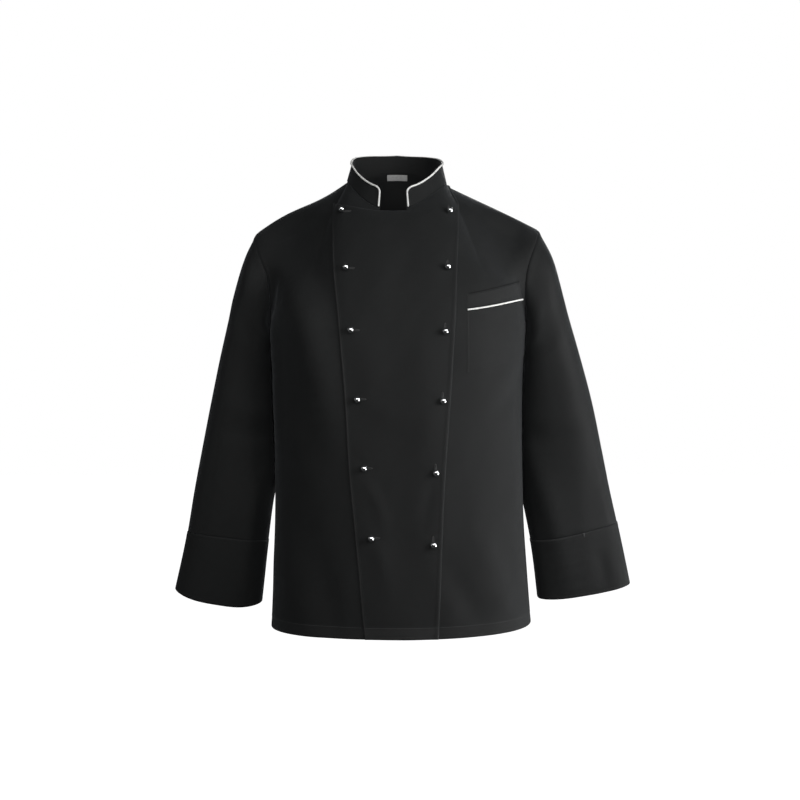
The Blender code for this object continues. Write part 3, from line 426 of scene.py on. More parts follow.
ARM_FOLDS = {
    Hand.LEFT: (
        Fold(50, -270, 84, -400, 100, -600, 24, 6),
        Fold(150, -330, 140, -420, 150, -520, 22, -2.2),
        Fold(128, -500, 134, -545, 128, -600, 12, -2.4),
    ),
    Hand.RIGHT: (
        Fold(60, -330, 82, -440, 90, -600, 24, 4),
        Fold(120, -200, 130, -260, 126, -330, 20, 1.6),
    ),
}


# ---- form


class Level(NamedTuple):
    """Half sizes of one horizontal cut of the body, and its superellipse power."""

    height: float
    right: float
    left: float
    front: float
    back: float
    squareness: float


class ArmholeRow(NamedTuple):
    """Distance of the armhole from the middle at a share of its height."""

    rise: float
    right: float
    left: float


class CollarRow(NamedTuple):
    """Height of the collar's top edge at a turn about the neck, in degrees."""

    turn: float
    height: float


class EdgeRow(NamedTuple):
    """Distance of the overlap's free edge and of its seam from the middle."""

    height: float
    free_edge: float
    seam: float


class Ring(NamedTuple):
    """One ring of a sleeve, tilted from its outer to its inner point."""

    outer: float
    outer_height: float
    inner: float
    inner_height: float
    front: float
    back: float
    inner_setback: float


LEVELS = (
    Level(-0.775, 0.2238, 0.2284, 0.1420, 0.1250, 2.30),
    Level(-0.710, 0.2210, 0.2233, 0.1405, 0.1225, 2.30),
    Level(-0.658, 0.2197, 0.2195, 0.1390, 0.1190, 2.30),
    Level(-0.606, 0.2177, 0.2158, 0.1380, 0.1155, 2.30),
    Level(-0.536, 0.2166, 0.2129, 0.1380, 0.1120, 2.35),
    Level(-0.460, 0.2175, 0.2115, 0.1395, 0.1130, 2.45),
    Level(-0.379, 0.2195, 0.2112, 0.1430, 0.1170, 2.60),
    Level(-0.300, 0.2215, 0.2140, 0.1455, 0.1230, 2.80),
    Level(-0.250, 0.2228, 0.2165, 0.1430, 0.1260, 2.90),
)

ARMHOLE = (
    ArmholeRow(0.00, 0.2228, 0.2165),
    ArmholeRow(0.15, 0.2225, 0.2155),
    ArmholeRow(0.34, 0.2215, 0.2125),
    ArmholeRow(0.52, 0.2265, 0.2145),
    ArmholeRow(0.65, 0.2352, 0.2200),
    ArmholeRow(0.81, 0.2444, 0.2300),
    ArmholeRow(0.95, 0.2475, 0.2382),
    ArmholeRow(1.00, 0.2455, 0.2395),
)

COLLAR_EDGE = (
    CollarRow(0.0, -0.0250),
    CollarRow(30.0, -0.0130),
    CollarRow(50.0, 0.0040),
    CollarRow(70.0, 0.0235),
    CollarRow(90.0, 0.0350),
    CollarRow(110.0, 0.0460),
    CollarRow(135.0, 0.0538),
    CollarRow(180.0, 0.0598),
)

OVERLAP = (
    EdgeRow(-0.770, -0.0573, 0.0630),
    EdgeRow(-0.700, -0.0643, 0.0660),
    EdgeRow(-0.610, -0.0724, 0.0692),
    EdgeRow(-0.490, -0.0838, 0.0748),
    EdgeRow(-0.379, -0.0904, 0.0826),
    EdgeRow(-0.260, -0.1002, 0.0897),
    EdgeRow(-0.146, -0.1107, 0.0948),
    EdgeRow(-0.090, -0.1127, 0.0978),
    EdgeRow(-0.030, -0.1140, 0.1015),
)

SLEEVE_RINGS = {
    Hand.RIGHT: (
        Ring(0.2650, -0.1250, 0.2230, -0.2650, -0.0690, 0.0800, 0.012),
        Ring(0.2872, -0.2010, 0.2200, -0.3080, -0.0660, 0.0860, 0.028),
        Ring(0.3088, -0.2909, 0.2150, -0.3560, -0.0610, 0.0860, 0.040),
        Ring(0.3275, -0.3790, 0.2130, -0.4200, -0.0550, 0.0830, 0.042),
        Ring(0.3457, -0.4671, 0.2130, -0.4950, -0.0460, 0.0770, 0.040),
        Ring(0.3600, -0.5376, 0.2240, -0.5560, -0.0370, 0.0700, 0.025),
        Ring(0.3724, -0.6081, 0.2325, -0.6240, -0.0280, 0.0630, 0.018),
    ),
    Hand.LEFT: (
        Ring(0.2598, -0.1250, 0.2180, -0.2650, -0.0690, 0.0800, 0.012),
        Ring(0.2818, -0.2010, 0.2130, -0.3080, -0.0660, 0.0860, 0.028),
        Ring(0.3090, -0.2909, 0.2080, -0.3560, -0.0610, 0.0860, 0.040),
        Ring(0.3338, -0.3790, 0.2060, -0.4200, -0.0550, 0.0830, 0.042),
        Ring(0.3532, -0.4671, 0.2070, -0.4980, -0.0460, 0.0770, 0.040),
        Ring(0.3677, -0.5376, 0.2185, -0.5620, -0.0370, 0.0700, 0.025),
        Ring(0.3796, -0.5905, 0.2297, -0.6232, -0.0290, 0.0637, 0.018),
    ),
}
CUFF_EDGE = {
    Hand.RIGHT: Ring(0.3942, -0.7095, 0.2438, -0.7335, -0.0170, 0.0550, 0.018),
    Hand.LEFT: Ring(0.4030, -0.7000, 0.2425, -0.7260, -0.0170, 0.0550, 0.018),
}


class ArmLook(NamedTuple):
    """What differs between the arms, apart from their rings and own folds."""

    cuff_dip: float              # how far the cuff's edge hangs lower in front
    seam_dip: float              # the same for the cuff's seam
    # share of painted highlight along the cuff's top edge, which also scales the ridge there
    cuff_edge_highlight: float
    fold_lag: float              # shift of the folds that both arms share
    wave_phase: float


ARM_LOOKS = {
    Hand.RIGHT: ArmLook(0.0125, 0.0, 0.15, 0.0, 2.4),
    Hand.LEFT: ArmLook(0.005, 0.0035, 0.8, 0.010, 0.7),
}


@dataclass(frozen=True)
class BodyForm:
    """The body of the jacket as a surface of u and rise.

    u runs from -1 at the wearer's right side seam to +1 at the left one. Rise
    goes from the hem to the armpit, and again from there to the top edge.
    """

    armpit: float = -0.250
    hem: float = -0.770
    hem_rise_left: float = 0.007
    armhole_depth: dict = field(default_factory=lambda: {Facing.FRONT: 0.068, Facing.BACK: 0.076})
    armpit_setback: float = 0.005
    armhole_spread: float = 2.2
    shoulder_height: dict = field(default_factory=lambda: {Hand.RIGHT: -0.0868, Hand.LEFT: -0.0830})
    neck_pull: tuple[float, float] = (1.4, 0.55)
    shoulder_pull: tuple[float, float] = (1.9, 0.20)
    shoulder_turn: dict = field(
        default_factory=lambda: {Facing.FRONT: (0.28, 1.0), Facing.BACK: (0.0, 0.46)})
    level_step: float = 0.01
    neck_middle: float = -0.0050
    neck_half_width: float = 0.0865
    neck_depth: dict = field(default_factory=lambda: {Facing.FRONT: 0.075, Facing.BACK: 0.068})
    neck_point_height: float = -0.002
    neck_tilt: float = -0.0035
    neck_height: dict = field(default_factory=lambda: {Facing.FRONT: -0.060, Facing.BACK: 0.029})
    overlap_pull: float = -0.006
    neck_share: float = 0.40
    corner_rest: float = 0.8
    shoulder_bow: float = 0.0010
    shoulder_swing: dict = field(default_factory=lambda: {Hand.RIGHT: 0.0037, Hand.LEFT: 0.0004})

    def level(self, u: Array, height: Array, facing: Facing) -> Array:
        """Superellipse of a level: half width sin^(2/n), depth cos^(2/n) of u's quarter turn.

        Args:
            u: Place from side seam to side seam.
            height: Height of each point.
            facing: Front or back half.

        Returns:
            Points.
        """
        sizes = smooth(height, [row.height for row in LEVELS], [row[1:] for row in LEVELS])
        turn = u * np.pi / 2
        power = 2.0 / sizes[..., 4]
        across = bulged(np.sin(turn), power)
        out = np.abs(np.cos(turn)) ** power
        half = np.where(u < 0, sizes[..., 0], sizes[..., 1])
        depth = -sizes[..., 2] if facing is Facing.FRONT else sizes[..., 3]
        return stack(half * across, depth * out, height)

    def lower(self, u: Array, rise: Array, facing: Facing) -> Array:
        """Points between the hem (rise 0) and the armpit (rise 1).

        Args:
            u: Place from side seam to side seam.
            rise: Share of the way up.
            facing: Front or back half.

        Returns:
            Points.
        """
        across = np.clip(np.sin(u * np.pi / 2), 0.0, 1.0)
        hem = self.hem + self.hem_rise_left * across**2
        return self.level(u, hem + (self.armpit - hem) * rise, facing)

    def neck_turn(self, inside: Array) -> Array:
        """Turn about the neck at a share (-1 to 1) of the neckline's half, slow at the neck points."""
        reach = np.abs(inside)
        return np.sign(inside) * (reach + self.corner_rest * 0.5 * reach * (1.0 - reach)) * np.pi / 2

    def neck_share_at(self, turn: float) -> float:
        """Share of the neckline's half at a turn: neck_turn read back."""
        shares = np.linspace(-1.0, 1.0, DENSE)
        return float(np.interp(turn, self.neck_turn(shares), shares))

    def neck(self, turn: Array) -> Array:
        """Neckline: an ellipse from above, its height a squared cosine between side and end.

        Args:
            turn: 0 in front, +90 degrees at the wearer's left, 180 behind, in radians.

        Returns:
            Points.
        """
        front = np.cos(turn) > 0
        depth = np.where(front, self.neck_depth[Facing.FRONT], self.neck_depth[Facing.BACK])
        end = np.where(front, self.neck_height[Facing.FRONT], self.neck_height[Facing.BACK])
        pull = np.where(front, self.overlap_pull * np.cos(turn), 0.0)
        side = self.neck_point_height + self.neck_tilt * np.sin(turn)
        return stack(self.neck_middle + self.neck_half_width * np.sin(turn) + pull,
                     -depth * np.cos(turn), side + (end - side) * np.cos(turn) ** 2)

    def armhole(self, hand: Hand, turn: Array, facing: Facing) -> Array:
        """Armhole: a half ellipse in depth and height, its distance from a table.

        Args:
            hand: The wearer's side.
            turn: 0 at the armpit, 180 degrees at the shoulder, in radians.
            facing: Front or back half.

        Returns:
            Points.
        """
        rise = (1.0 - np.cos(turn)) / 2
        column = 1 if hand is Hand.RIGHT else 2
        across = smooth(rise, [row.rise for row in ARMHOLE], [row[column] for row in ARMHOLE])
        depth = self.armhole_depth[facing] * (-1.0 if facing is Facing.FRONT else 1.0)
        return stack(hand.value * across, self.armpit_setback * (1.0 - rise) + depth * np.sin(turn),
                     self.armpit + (self.shoulder_height[hand] - self.armpit) * rise)

    def top_edge(self, u: Array, facing: Facing) -> Array:
        """Upper edge of a panel: shoulder seam, neckline, shoulder seam, still at the neck points.

        Args:
            u: Place from side seam to side seam.
            facing: Front or back half.

        Returns:
            Points.
        """
        inside = np.clip(u / self.neck_share, -1.0, 1.0)
        turn = self.neck_turn(inside)
        neck = self.neck(turn if facing is Facing.FRONT else np.pi - turn)
        share = np.clip((np.abs(u) - self.neck_share) / (1.0 - self.neck_share), 0.0, 1.0)[..., None]
        share = share + self.corner_rest * share * (share - 1.0)
        right = (u < 0)[..., None]
        end = np.where(right, *(self.armhole(hand, np.pi, facing) for hand in Hand))
        swing = np.where(right, self.shoulder_swing[Hand.RIGHT], self.shoulder_swing[Hand.LEFT])
        bow = self.shoulder_bow * np.sin(np.pi * share) - swing * np.sin(2 * np.pi * share)
        return neck + (end - neck) * share + bow * np.array([0.0, 0.0, 1.0])

    def column(self, u: Array, rise: Array, facing: Facing) -> Array:
        """Cubic from the armpit level (rise 0) to the top edge (rise 1), swinging back at the top.

        Args:
            u: Place from side seam to side seam.
            rise: Share of the way up.
            facing: Front or back half.

        Returns:
            Points.
        """
        foot = self.level(u, np.full(u.shape, self.armpit), facing)
        below = self.level(u, np.full(u.shape, self.armpit - self.level_step), facing)
        top = self.top_edge(u, facing)
        gain = top - foot
        onset, full = self.shoulder_turn[facing]
        shoulder = ease((np.abs(u) - onset) / (full - onset))
        back = self.neck_pull[0] + (self.shoulder_pull[0] - self.neck_pull[0]) * shoulder
        up = self.neck_pull[1] + (self.shoulder_pull[1] - self.neck_pull[1]) * shoulder
        pull_foot = (foot - below) / self.level_step * gain[..., 2:]
        pull_top = stack(np.zeros(u.shape), gain[..., 1] * back, gain[..., 2] * up)
        return hermite(rise[..., None], foot, pull_foot, top, pull_top)

    def upper(self, u: Array, rise: Array, facing: Facing) -> Array:
        """Points between the armpit level (rise 0) and the top edge (rise 1).

        The columns first close up, so that the outermost one runs at the
        armhole's depth, and are then drawn out to the armhole itself.

        Args:
            u: Place from side seam to side seam.
            rise: Share of the way up.
            facing: Front or back half.

        Returns:
            Points.
        """
        u, rise = np.broadcast_arrays(np.asarray(u, float), np.asarray(rise, float))
        side = np.where(u < 0, -1.0, 1.0)
        turn = np.pi * rise
        edge = np.where((u < 0)[..., None], *(self.armhole(hand, turn, facing) for hand in Hand))
        level = LEVELS[-1].front if facing is Facing.FRONT else LEVELS[-1].back
        closed = (self.armhole_depth[facing] * np.sin(turn) / level) ** (LEVELS[-1].squareness / 2)
        narrow = np.arccos(np.clip(closed, 0.0, 1.0)) / (np.pi / 2)
        share = (np.abs(u) ** self.armhole_spread)[..., None]
        drawn = edge - self.column(side * narrow, rise, facing)
        return self.column(u * narrow, rise, facing) + drawn * share

    def half_width(self, height: Array, setback: Array, hand: Hand) -> Array:
        """How far the body reaches to one side at a height and a setback.

        Args:
            height: Height of each point.
            setback: Its y.
            hand: The wearer's side.

        Returns:
            One width for each point.
        """
        sizes = smooth(height, [row.height for row in LEVELS], [row[1:] for row in LEVELS])
        half = sizes[..., 0] if hand is Hand.RIGHT else sizes[..., 1]
        depth = np.where(setback < 0, sizes[..., 2], sizes[..., 3])
        share = np.clip(np.abs(setback) / depth, 0.0, 1.0) ** sizes[..., 4]
        return half * (1.0 - share) ** (1.0 / sizes[..., 4])


@dataclass(frozen=True)
class BodyGrids:
    """Fine grids of both fronts' base layer and of the back.

    Coarse cells are counted as in the cut: 8 columns a side part, 12 under
    the overlap, 13 rows to the armpit, 7 on to the overlap's top edge and 3
    above it. The fine lines cut these cells and stand close at the edges.
    """

    form: BodyForm = field(default_factory=BodyForm)
    lower_rows: int = 13
    upper_rows: int = 10
    rows_above_overlap: int = 3
    side_columns: int = 8
    half_neck_columns: int = 4
    overlap_share: float = 0.47
    collar_turns: tuple[float, float] = (-15.5, 15.0)      # of its right and left end, in degrees
    overlap_middle: float = -0.0105
    overlap_top_height: float = -0.0612
    overlap_top_half: float = 0.0225
    overlap_top_rise: float = 0.018
    overlap_top_run: float = 0.0805
    overlap_top_power: float = 1.6
    overlap_closing: float = 0.80
    highest_top_rise: float = 0.985
    knots: int = 21
    widest: float = 0.9
    row_parts: int = 5
    column_parts: int = 5
    beside: tuple[float, ...] = (-0.15, -0.06, 0.06, 0.15)

    @property
    def overlap_row(self) -> int:
        """Coarse row of the overlap's top edge."""
        return self.lower_rows + self.upper_rows - self.rows_above_overlap

    @property
    def marks(self) -> dict[str, int]:
        """Coarse columns of the front's named lines.

        Returns:
            Column of each line.
        """
        first = self.side_columns
        last = first + 2 * self.half_neck_columns + 4
        return {"free_edge": first, "collar_right": first + 1 + self.half_neck_columns,
                "collar_left": first + 3 + self.half_neck_columns, "tuck": last - 1, "seam": last,
                "end": last + self.side_columns}

    @property
    def collar_ends(self) -> list[float]:
        """Share of the neckline's half at the collar's right and left end."""
        return [self.form.neck_share_at(np.radians(turn)) for turn in self.collar_turns]

    def row_steps(self) -> Array:
        """Row positions in coarse cells, shared by front and back.

        Returns:
            Rising positions.
        """
        total = self.lower_rows + self.upper_rows
        close = {0: (0.025, 0.06), total: (-0.06, -0.15), self.overlap_row: self.beside}
        return fine_steps(total, self.row_parts, close)

    def column_steps(self) -> Array:
        """Front column positions in coarse cells.

        Returns:
            Rising positions.
        """
        marks = self.marks
        close = {0: (0.06, 0.15), marks["end"]: (-0.15, -0.06), marks["free_edge"]: self.beside,
                 marks["seam"]: self.beside}
        return fine_steps(marks["end"], self.column_parts, close)

    def spread_shares(self, steps: Array) -> tuple[Array, Array, Array]:
        """Split column positions into shares of the right part, the overlap and the left part.

        Args:
            steps: Column positions in coarse cells.

        Returns:
            Three arrays, one share for each position, held at 0 and 1 outside its part.
        """
        marks, (right_end, left_end) = self.marks, self.collar_ends
        count = self.half_neck_columns + 1
        neck = np.concatenate([np.linspace(-1.0, right_end, count), [(right_end + left_end) / 2],
                               np.linspace(left_end, 1.0, count)])
        u = np.concatenate([[-self.overlap_share], neck * self.form.neck_share, [self.overlap_share]])
        coarse = (u + self.overlap_share) / (2 * self.overlap_share)
        first, last = marks["free_edge"], marks["seam"]
        over = np.interp(steps, np.arange(first, last + 1), coarse)
        right = np.clip(steps / first, 0.0, 1.0)
        left = np.clip((steps - last) / (marks["end"] - last), 0.0, 1.0)
        return right, over, left

    def column_of(self, which: str, rise: float, lower: bool) -> float:
        """u at which the front crosses the free edge or the seam of the overlap.

        Args:
            which: The field of EdgeRow to follow.
            rise: Share of the way up.
            lower: Whether that is below the armpit.

        Returns:
            Its u.
        """
        u = np.linspace(-self.widest, self.widest, DENSE)
        surface = self.form.lower if lower else self.form.upper
        points = surface(u, np.full(DENSE, rise), Facing.FRONT)
        heights, places = zip(*((row.height, getattr(row, which)) for row in OVERLAP))
        wanted = smooth(points[:, 2], heights, places)
        return float(np.interp(0.0, points[:, 0] - wanted, u))

    def front(self) -> Array:
        """Base layer of both fronts, rows from the hem to the top edge.

        Below the armpit each row is a level. Above it a row is a share of the
        way to the overlap's top edge, or of the way from there to the neckline.

        Returns:
            Points, rows by columns.
        """
        form = self.form
        rows, steps = self.row_steps(), self.column_steps()
        right, over, left = self.spread_shares(steps)

        def spread(free_edge: float, seam: float) -> Array:
            """Column u for the places of the free edge and the seam."""
            return (-1.0 + (free_edge + 1.0) * right + (seam - free_edge) * over + (1.0 - seam) * left)

        below = rows[rows < self.lower_rows] / self.lower_rows
        lower_u = np.array([spread(*(self.column_of(line, rise, True) for line in ("free_edge", "seam")))
                            for rise in below])
        lower = form.lower(lower_u, np.broadcast_to(below[:, None], lower_u.shape), Facing.FRONT)

        knots = np.linspace(0.0, 1.0, self.knots)
        held = np.minimum(knots, self.overlap_closing)
        free_edge = np.array([self.column_of("free_edge", rise, False) for rise in held])
        seam = np.array([self.column_of("seam", rise, False) for rise in held])
        closing = ease((knots - self.overlap_closing) / (1.0 - self.overlap_closing))
        free_edge += (-self.overlap_share - free_edge) * closing
        seam += (self.overlap_share - seam) * closing
        rises = np.linspace(0.0, 1.0, DENSE)
        u = spread(smooth(rises, knots, free_edge)[:, None], smooth(rises, knots, seam)[:, None])
        surface = form.upper(u, rises[:, None], Facing.FRONT)

        edge_rise = self.edge_rises(surface, rises, steps)
        part = (rows[rows >= self.lower_rows] - self.lower_rows)[:, None]
        top = self.upper_rows - self.rows_above_overlap
        rise = np.where(part <= top, edge_rise * part / top,
                        edge_rise + (1.0 - edge_rise) * (part - top) / self.rows_above_overlap)
        columns = np.broadcast_to(np.arange(len(steps), dtype=float), rise.shape)
        upper = form.upper(sample(u, rise * (DENSE - 1), columns), rise, Facing.FRONT)
        return np.concatenate([lower, upper])

    def edge_rises(self, surface: Array, rises: Array, steps: Array) -> Array:
        """Rise at which each column crosses the overlap's top edge.

        Args:
            surface: Dense rows of the upper front.
            rises: Their rises.
            steps: Column positions in coarse cells.

        Returns:
            One rise for each column, eased out to the armholes.
        """
        marks = self.marks
        aside = np.abs(surface[:, :, 0] - self.overlap_middle) - self.overlap_top_half
        climb = np.clip(aside / self.overlap_top_run, 0.0, None) ** self.overlap_top_power
        over = surface[:, :, 2] - self.overlap_top_height - self.overlap_top_rise * climb
        after = np.clip(np.argmax(over > 0, axis=0), 1, None)
        columns = np.arange(over.shape[1])
        low, high = over[after - 1, columns], over[after, columns]
        crossed = rises[after - 1] + np.clip(-low / (high - low), 0.0, 1.0) * (rises[1] - rises[0])
        crossed = np.where(over[-1] > 0, crossed, 1.0)
        crossed = np.clip(crossed, 0.0, self.highest_top_rise)
        at_side = (self.upper_rows - self.rows_above_overlap) / self.upper_rows
        at_right = np.interp(marks["free_edge"], steps, crossed)
        at_left = np.interp(marks["seam"], steps, crossed)
        right = at_side + (at_right - at_side) * ease(steps / marks["free_edge"])
        left = at_left + (at_side - at_left) * ease((steps - marks["seam"]) / self.side_columns)
        return np.where(steps < marks["free_edge"], right, np.where(steps > marks["seam"], left, crossed))

    def back_steps(self) -> Array:
        """Back column positions in coarse cells, from the wearer's left to the right.

        Returns:
            Rising positions.
        """
        end = self.marks["end"]
        close = {0: (0.06, 0.15), end: (-0.15, -0.06)}
        same = end - self.column_steps()
        shoulder = same[(same <= self.side_columns + 1) | (same >= end - self.side_columns - 1)]
        own = fine_steps(end, self.column_parts, close)
        neck = own[(own > self.side_columns + 1) & (own < end - self.side_columns - 1)]
        return np.unique(np.round(np.concatenate([shoulder, neck]), 6))

    def back(self) -> Array:
        """The back, rows from the hem to the top edge, columns from left to right.

        Returns:
            Points, rows by columns.
        """
        form = self.form
        side = np.linspace(1.0, self.overlap_share, self.side_columns + 1)
        neck = np.linspace(form.neck_share, -form.neck_share, 2 * self.half_neck_columns + 3)
        coarse = np.concatenate([side, neck, -side[::-1]])
        u = np.interp(self.back_steps(), np.arange(len(coarse)), coarse)
        rows = self.row_steps()
        below = (rows[rows < self.lower_rows] / self.lower_rows)[:, None]
        above = ((rows[rows >= self.lower_rows] - self.lower_rows) / self.upper_rows)[:, None]
        lower = form.lower(*np.broadcast_arrays(u[None], below), Facing.BACK)
        return np.concatenate([lower, form.upper(u[None], above, Facing.BACK)])


# ---- cloth walls


class Wear(NamedTuple):
    """A band of painted highlight along one side of a panel: paler colour where an edge catches the light.
    """

    side: Side
    width: float
    blur: float
    share: float


class Bead(NamedTuple):
    """A padded line along one side of a panel, such as a turned edge or a felled seam."""

    side: Side
    inset: float
    width: float
    height: float


class Cloth:
    """A cloth wall over a grid of points, with its normals and two offsets."""

    inner_roll = 0.6             # the inner edge's rounding as a share of the outer one's

    def __init__(self, name: str, grid: Array, above: float, below: float, cells: Array | None = None,
                 closed: bool = False, roll: float = 0.45) -> None:
        """Take the grid and work out its normals.

        Args:
            name: The piece's name.
            grid: Points, rows by columns.
            above: Height of the outer face over the grid.
            below: Depth of the inner face under the grid.
            cells: Which cells hold cloth, or all of them.
            closed: Whether the last column meets the first one.
            roll: Share of the wall by which its edges are rounded.
        """
        self.name = name
        self.grid = grid
        self.above = above
        self.below = below
        self.closed = closed
        rows, columns = grid.shape[:2]
        everywhere = np.ones((rows - 1, columns if closed else columns - 1), bool)
        self.cells = everywhere if cells is None else cells
        self.roll = roll
        self.normals = self.grid_normals()
        self.parting: tuple[Side, ...] = ()
        # bands painted paler as painted highlights along lit edges
        self.wear: list[Wear] = []
        self.beads: list[Bead] = []

    def directions(self, points: Array) -> tuple[Array, Array]:
        """Mean directions of the steps across the columns, over a tube's join too, and up the rows.

        Args:
            points: Points, rows by columns.

        Returns:
            Two directions for each point.
        """
        if not self.closed:
            return slope(points, 1), slope(points, 0)
        wrapped = np.concatenate([points[:, -1:], points, points[:, :1]], axis=1)
        return slope(wrapped, 1)[:, 1:-1], slope(points, 0)

    def grid_normals(self) -> Array:
        """Unit cross product of the directions across and up."""
        return unit(np.cross(*self.directions(self.grid)))

    def border(self) -> Array:
        """Mask of the grid's border points.

        Returns:
            True on the border.
        """
        mask = np.zeros(self.grid.shape[:2], bool)
        for side in (Side.BOTTOM, Side.TOP) if self.closed else Side:
            mask[side.line] = True
        return mask

    def push(self, heights: Array) -> None:
        """Move the grid out along its normals and work them out again."""
        self.grid = self.grid + self.normals * heights[..., None]
        self.normals = self.grid_normals()

    def rim_edges(self) -> tuple[Array, Array]:
        """Directed edges round the cells that hold cloth, as start and end numbers.

        A cell's side is on the rim where the next cell over it is empty.

        Returns:
            Start numbers and end numbers.
        """
        row, column = np.nonzero(self.cells)
        padded = np.pad(self.cells, 1)
        if self.closed:
            padded[1:-1, 0], padded[1:-1, -1] = self.cells[:, -1], self.cells[:, 0]
        width = self.cells.shape[1] + 1
        corner = row * width + column
        sides = ((-1, 0, 0, 1), (0, 1, 1, width + 1), (1, 0, width + 1, width), (0, -1, width, 0))
        starts, ends = [], []
        for up, aside, start, end in sides:
            free = ~padded[row + 1 + up, column + 1 + aside]
            starts.append(corner[free] + start)
            ends.append(corner[free] + end)
        return np.concatenate(starts), np.concatenate(ends)

    def rim_distance(self) -> Array:
        """Distance of each grid point to the nearest point on the cloth's rim.

        Returns:
            One distance for each point.
        """
        starts, ends = self.rim_edges()
        width = self.cells.shape[1] + 1
        numbers = np.unique(np.concatenate([starts, ends]))
        row, column = numbers // width, numbers % width % self.grid.shape[1]
        return nearest_distance(self.grid, self.grid[row, column])

    def side_distance(self, side: Side) -> Array:
        """Distance of each grid point to one side of the grid."""
        return nearest_distance(self.grid, self.grid[side.line])

    def painted_light(self) -> Array:
        """Share of painted highlight at each grid point, the strongest of its bands.

        Returns:
            One share for each point.
        """
        shares = [band.share * ease((band.width - self.side_distance(band.side)) / band.blur + 0.5)
                  for band in self.wear]
        return np.max(shares, axis=0) if shares else np.zeros(self.grid.shape[:2])

    def raised(self) -> Array:
        """Height of the beads at each grid point, bells across lines beside a side.

        Returns:
            One height for each point.
        """
        heights = [bead.height * np.exp(-((self.side_distance(bead.side) - bead.inset) / bead.width) ** 2)
                   for bead in self.beads]
        return np.sum(heights, axis=0) if heights else np.zeros(self.grid.shape[:2])

    def parted(self, points: Array) -> Array:
        """Draw the seam edges of a face of the wall back by half a parting.

        Args:
            points: The face's points.

        Returns:
            The points with their edges drawn back.
        """
        moved = points.copy()
        across, up = self.directions(points)
        for side in self.parting:
            normal = self.normals[side.line]
            inward = (np.cross(up[side.line], normal) if side.value[0]
                      else np.cross(normal, across[side.line]))
            moved[side.line] += unit(inward) * SEAM_PARTING / (2 if side.value[1] == 0 else -2)
        return moved

    def faces_of_wall(self) -> tuple[Array, Array]:
        """Outer and inner points of the wall, rounded at its rim.

        Returns:
            Two grids of points.
        """
        drop = self.roll * (self.above + self.below)
        drop = drop * (1.0 - np.clip(self.rim_distance() / EDGE_ROLL, 0.0, 1.0)) ** 2
        outer = self.parted(self.grid + self.normals * (self.above - drop + self.raised())[..., None])
        inner = self.parted(self.grid - self.normals * (self.below - drop * self.inner_roll)[..., None])
        return outer, inner

    def flat(self) -> Array:
        """Flat coordinates of the cloth in metres: mean running lengths across and up.

        Returns:
            Two coordinates for each point, a tube's first column repeated at the end.
        """
        wrapped = np.concatenate([self.grid, self.grid[:, :1]], axis=1) if self.closed else self.grid
        across = lengths(wrapped.transpose(1, 0, 2)).transpose(1, 0)
        return np.stack([across - across[:, across.shape[1] // 2, None], lengths(wrapped)], axis=2)

    def build(self, finish: "Finish", slot: str, replaced: str) -> Piece:
        """Args:
            finish: Its finish.
            slot: Passed on to register, which doesn't use it.
            replaced: The solid that it stands for.

        Returns:
            The piece.
        """
        rows, columns = self.grid.shape[:2]
        width = self.cells.shape[1] + 1
        row, column = np.nonzero(self.cells)
        corner, count = row * width + column, rows * width
        outside = quads(corner, corner + 1, corner + width + 1, corner + width)
        starts, ends = self.rim_edges()
        faces = np.concatenate([outside, count + outside[:, ::-1],
                                quads(ends, starts, count + starts, count + ends)])
        flat = self.flat().reshape(-1, 2)
        number = (np.arange(rows)[:, None] * columns + np.arange(width)[None] % columns).reshape(-1)
        number = np.concatenate([number, rows * columns + number])
        vertices = np.concatenate([face.reshape(-1, 3) for face in self.faces_of_wall()])
        uv = np.concatenate([flat, flat])[faces.reshape(-1)]
        # share of painted highlight at each point, kept on the mesh for the finish
        painted_light = np.tile(self.painted_light().reshape(-1), 2)
        piece = mesh_piece(self.name, vertices, [number[faces]], uv, painted_light)
        register(piece, finish, slot, replaced)
        return piece


def placed(name: str, data: bpy.types.ID) -> Piece:
    """Make an object of some data and put it into the scene.

    Args:
        name: Its name.
        data: Its mesh, light or camera.

    Returns:
        The object.
    """
    made = bpy.data.objects.new(name, data)
    bpy.context.scene.collection.objects.link(made)
    return made


def mesh_piece(name: str, vertices: Array, faces: list[Array], uv: Array | None = None,
               painted_light: Array | None = None, creased: bool = True) -> Piece:
    """Put points and faces into a new smooth-shaded object, without unused points.

    Args:
        name: Its name.
        vertices: Points.
        faces: Point numbers, one array for each number of corners.
        uv: Flat coordinates, one for each corner of each face.
        painted_light: Share of painted highlight, one for each point.
        creased: Whether sharp bends stay sharp.

    Returns:
        The object.
    """
    kept, numbers = np.unique(np.concatenate([part.reshape(-1) for part in faces]), return_inverse=True)
    parts = np.split(numbers, np.cumsum([part.size for part in faces])[:-1])
    polygons = sum((own.reshape(part.shape).tolist() for own, part in zip(parts, faces)), [])
    mesh = bpy.data.meshes.new(name)
    mesh.from_pydata(vertices[kept], [], polygons)
    if uv is not None:
        mesh.uv_layers.new(name="cloth").data.foreach_set("uv", uv.reshape(-1))
    if painted_light is not None:
        mesh.attributes.new("painted_light", "FLOAT", "POINT").data.foreach_set("value", painted_light[kept])
    mesh.shade_smooth()
    if creased:
        mesh.set_sharp_from_angle(angle=SHARP_ANGLE)
    return placed(name, mesh)


def register(piece: Piece, finish: "Finish", slot: str, *replaced: str) -> None:
    """Dress a piece, let it ride on the body and hide the solids it stands for.

    Args:
        piece: The object.
        finish: Its finish.
        slot: Not used.
        replaced: Names of the solids, if any.
    """
    piece.data.materials.append(finish.material())
    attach(piece, BODY)
    if replaced:
        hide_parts(*replaced)
    log.info("%s: %d points, %d faces", piece.name, len(piece.data.vertices), len(piece.data.polygons))


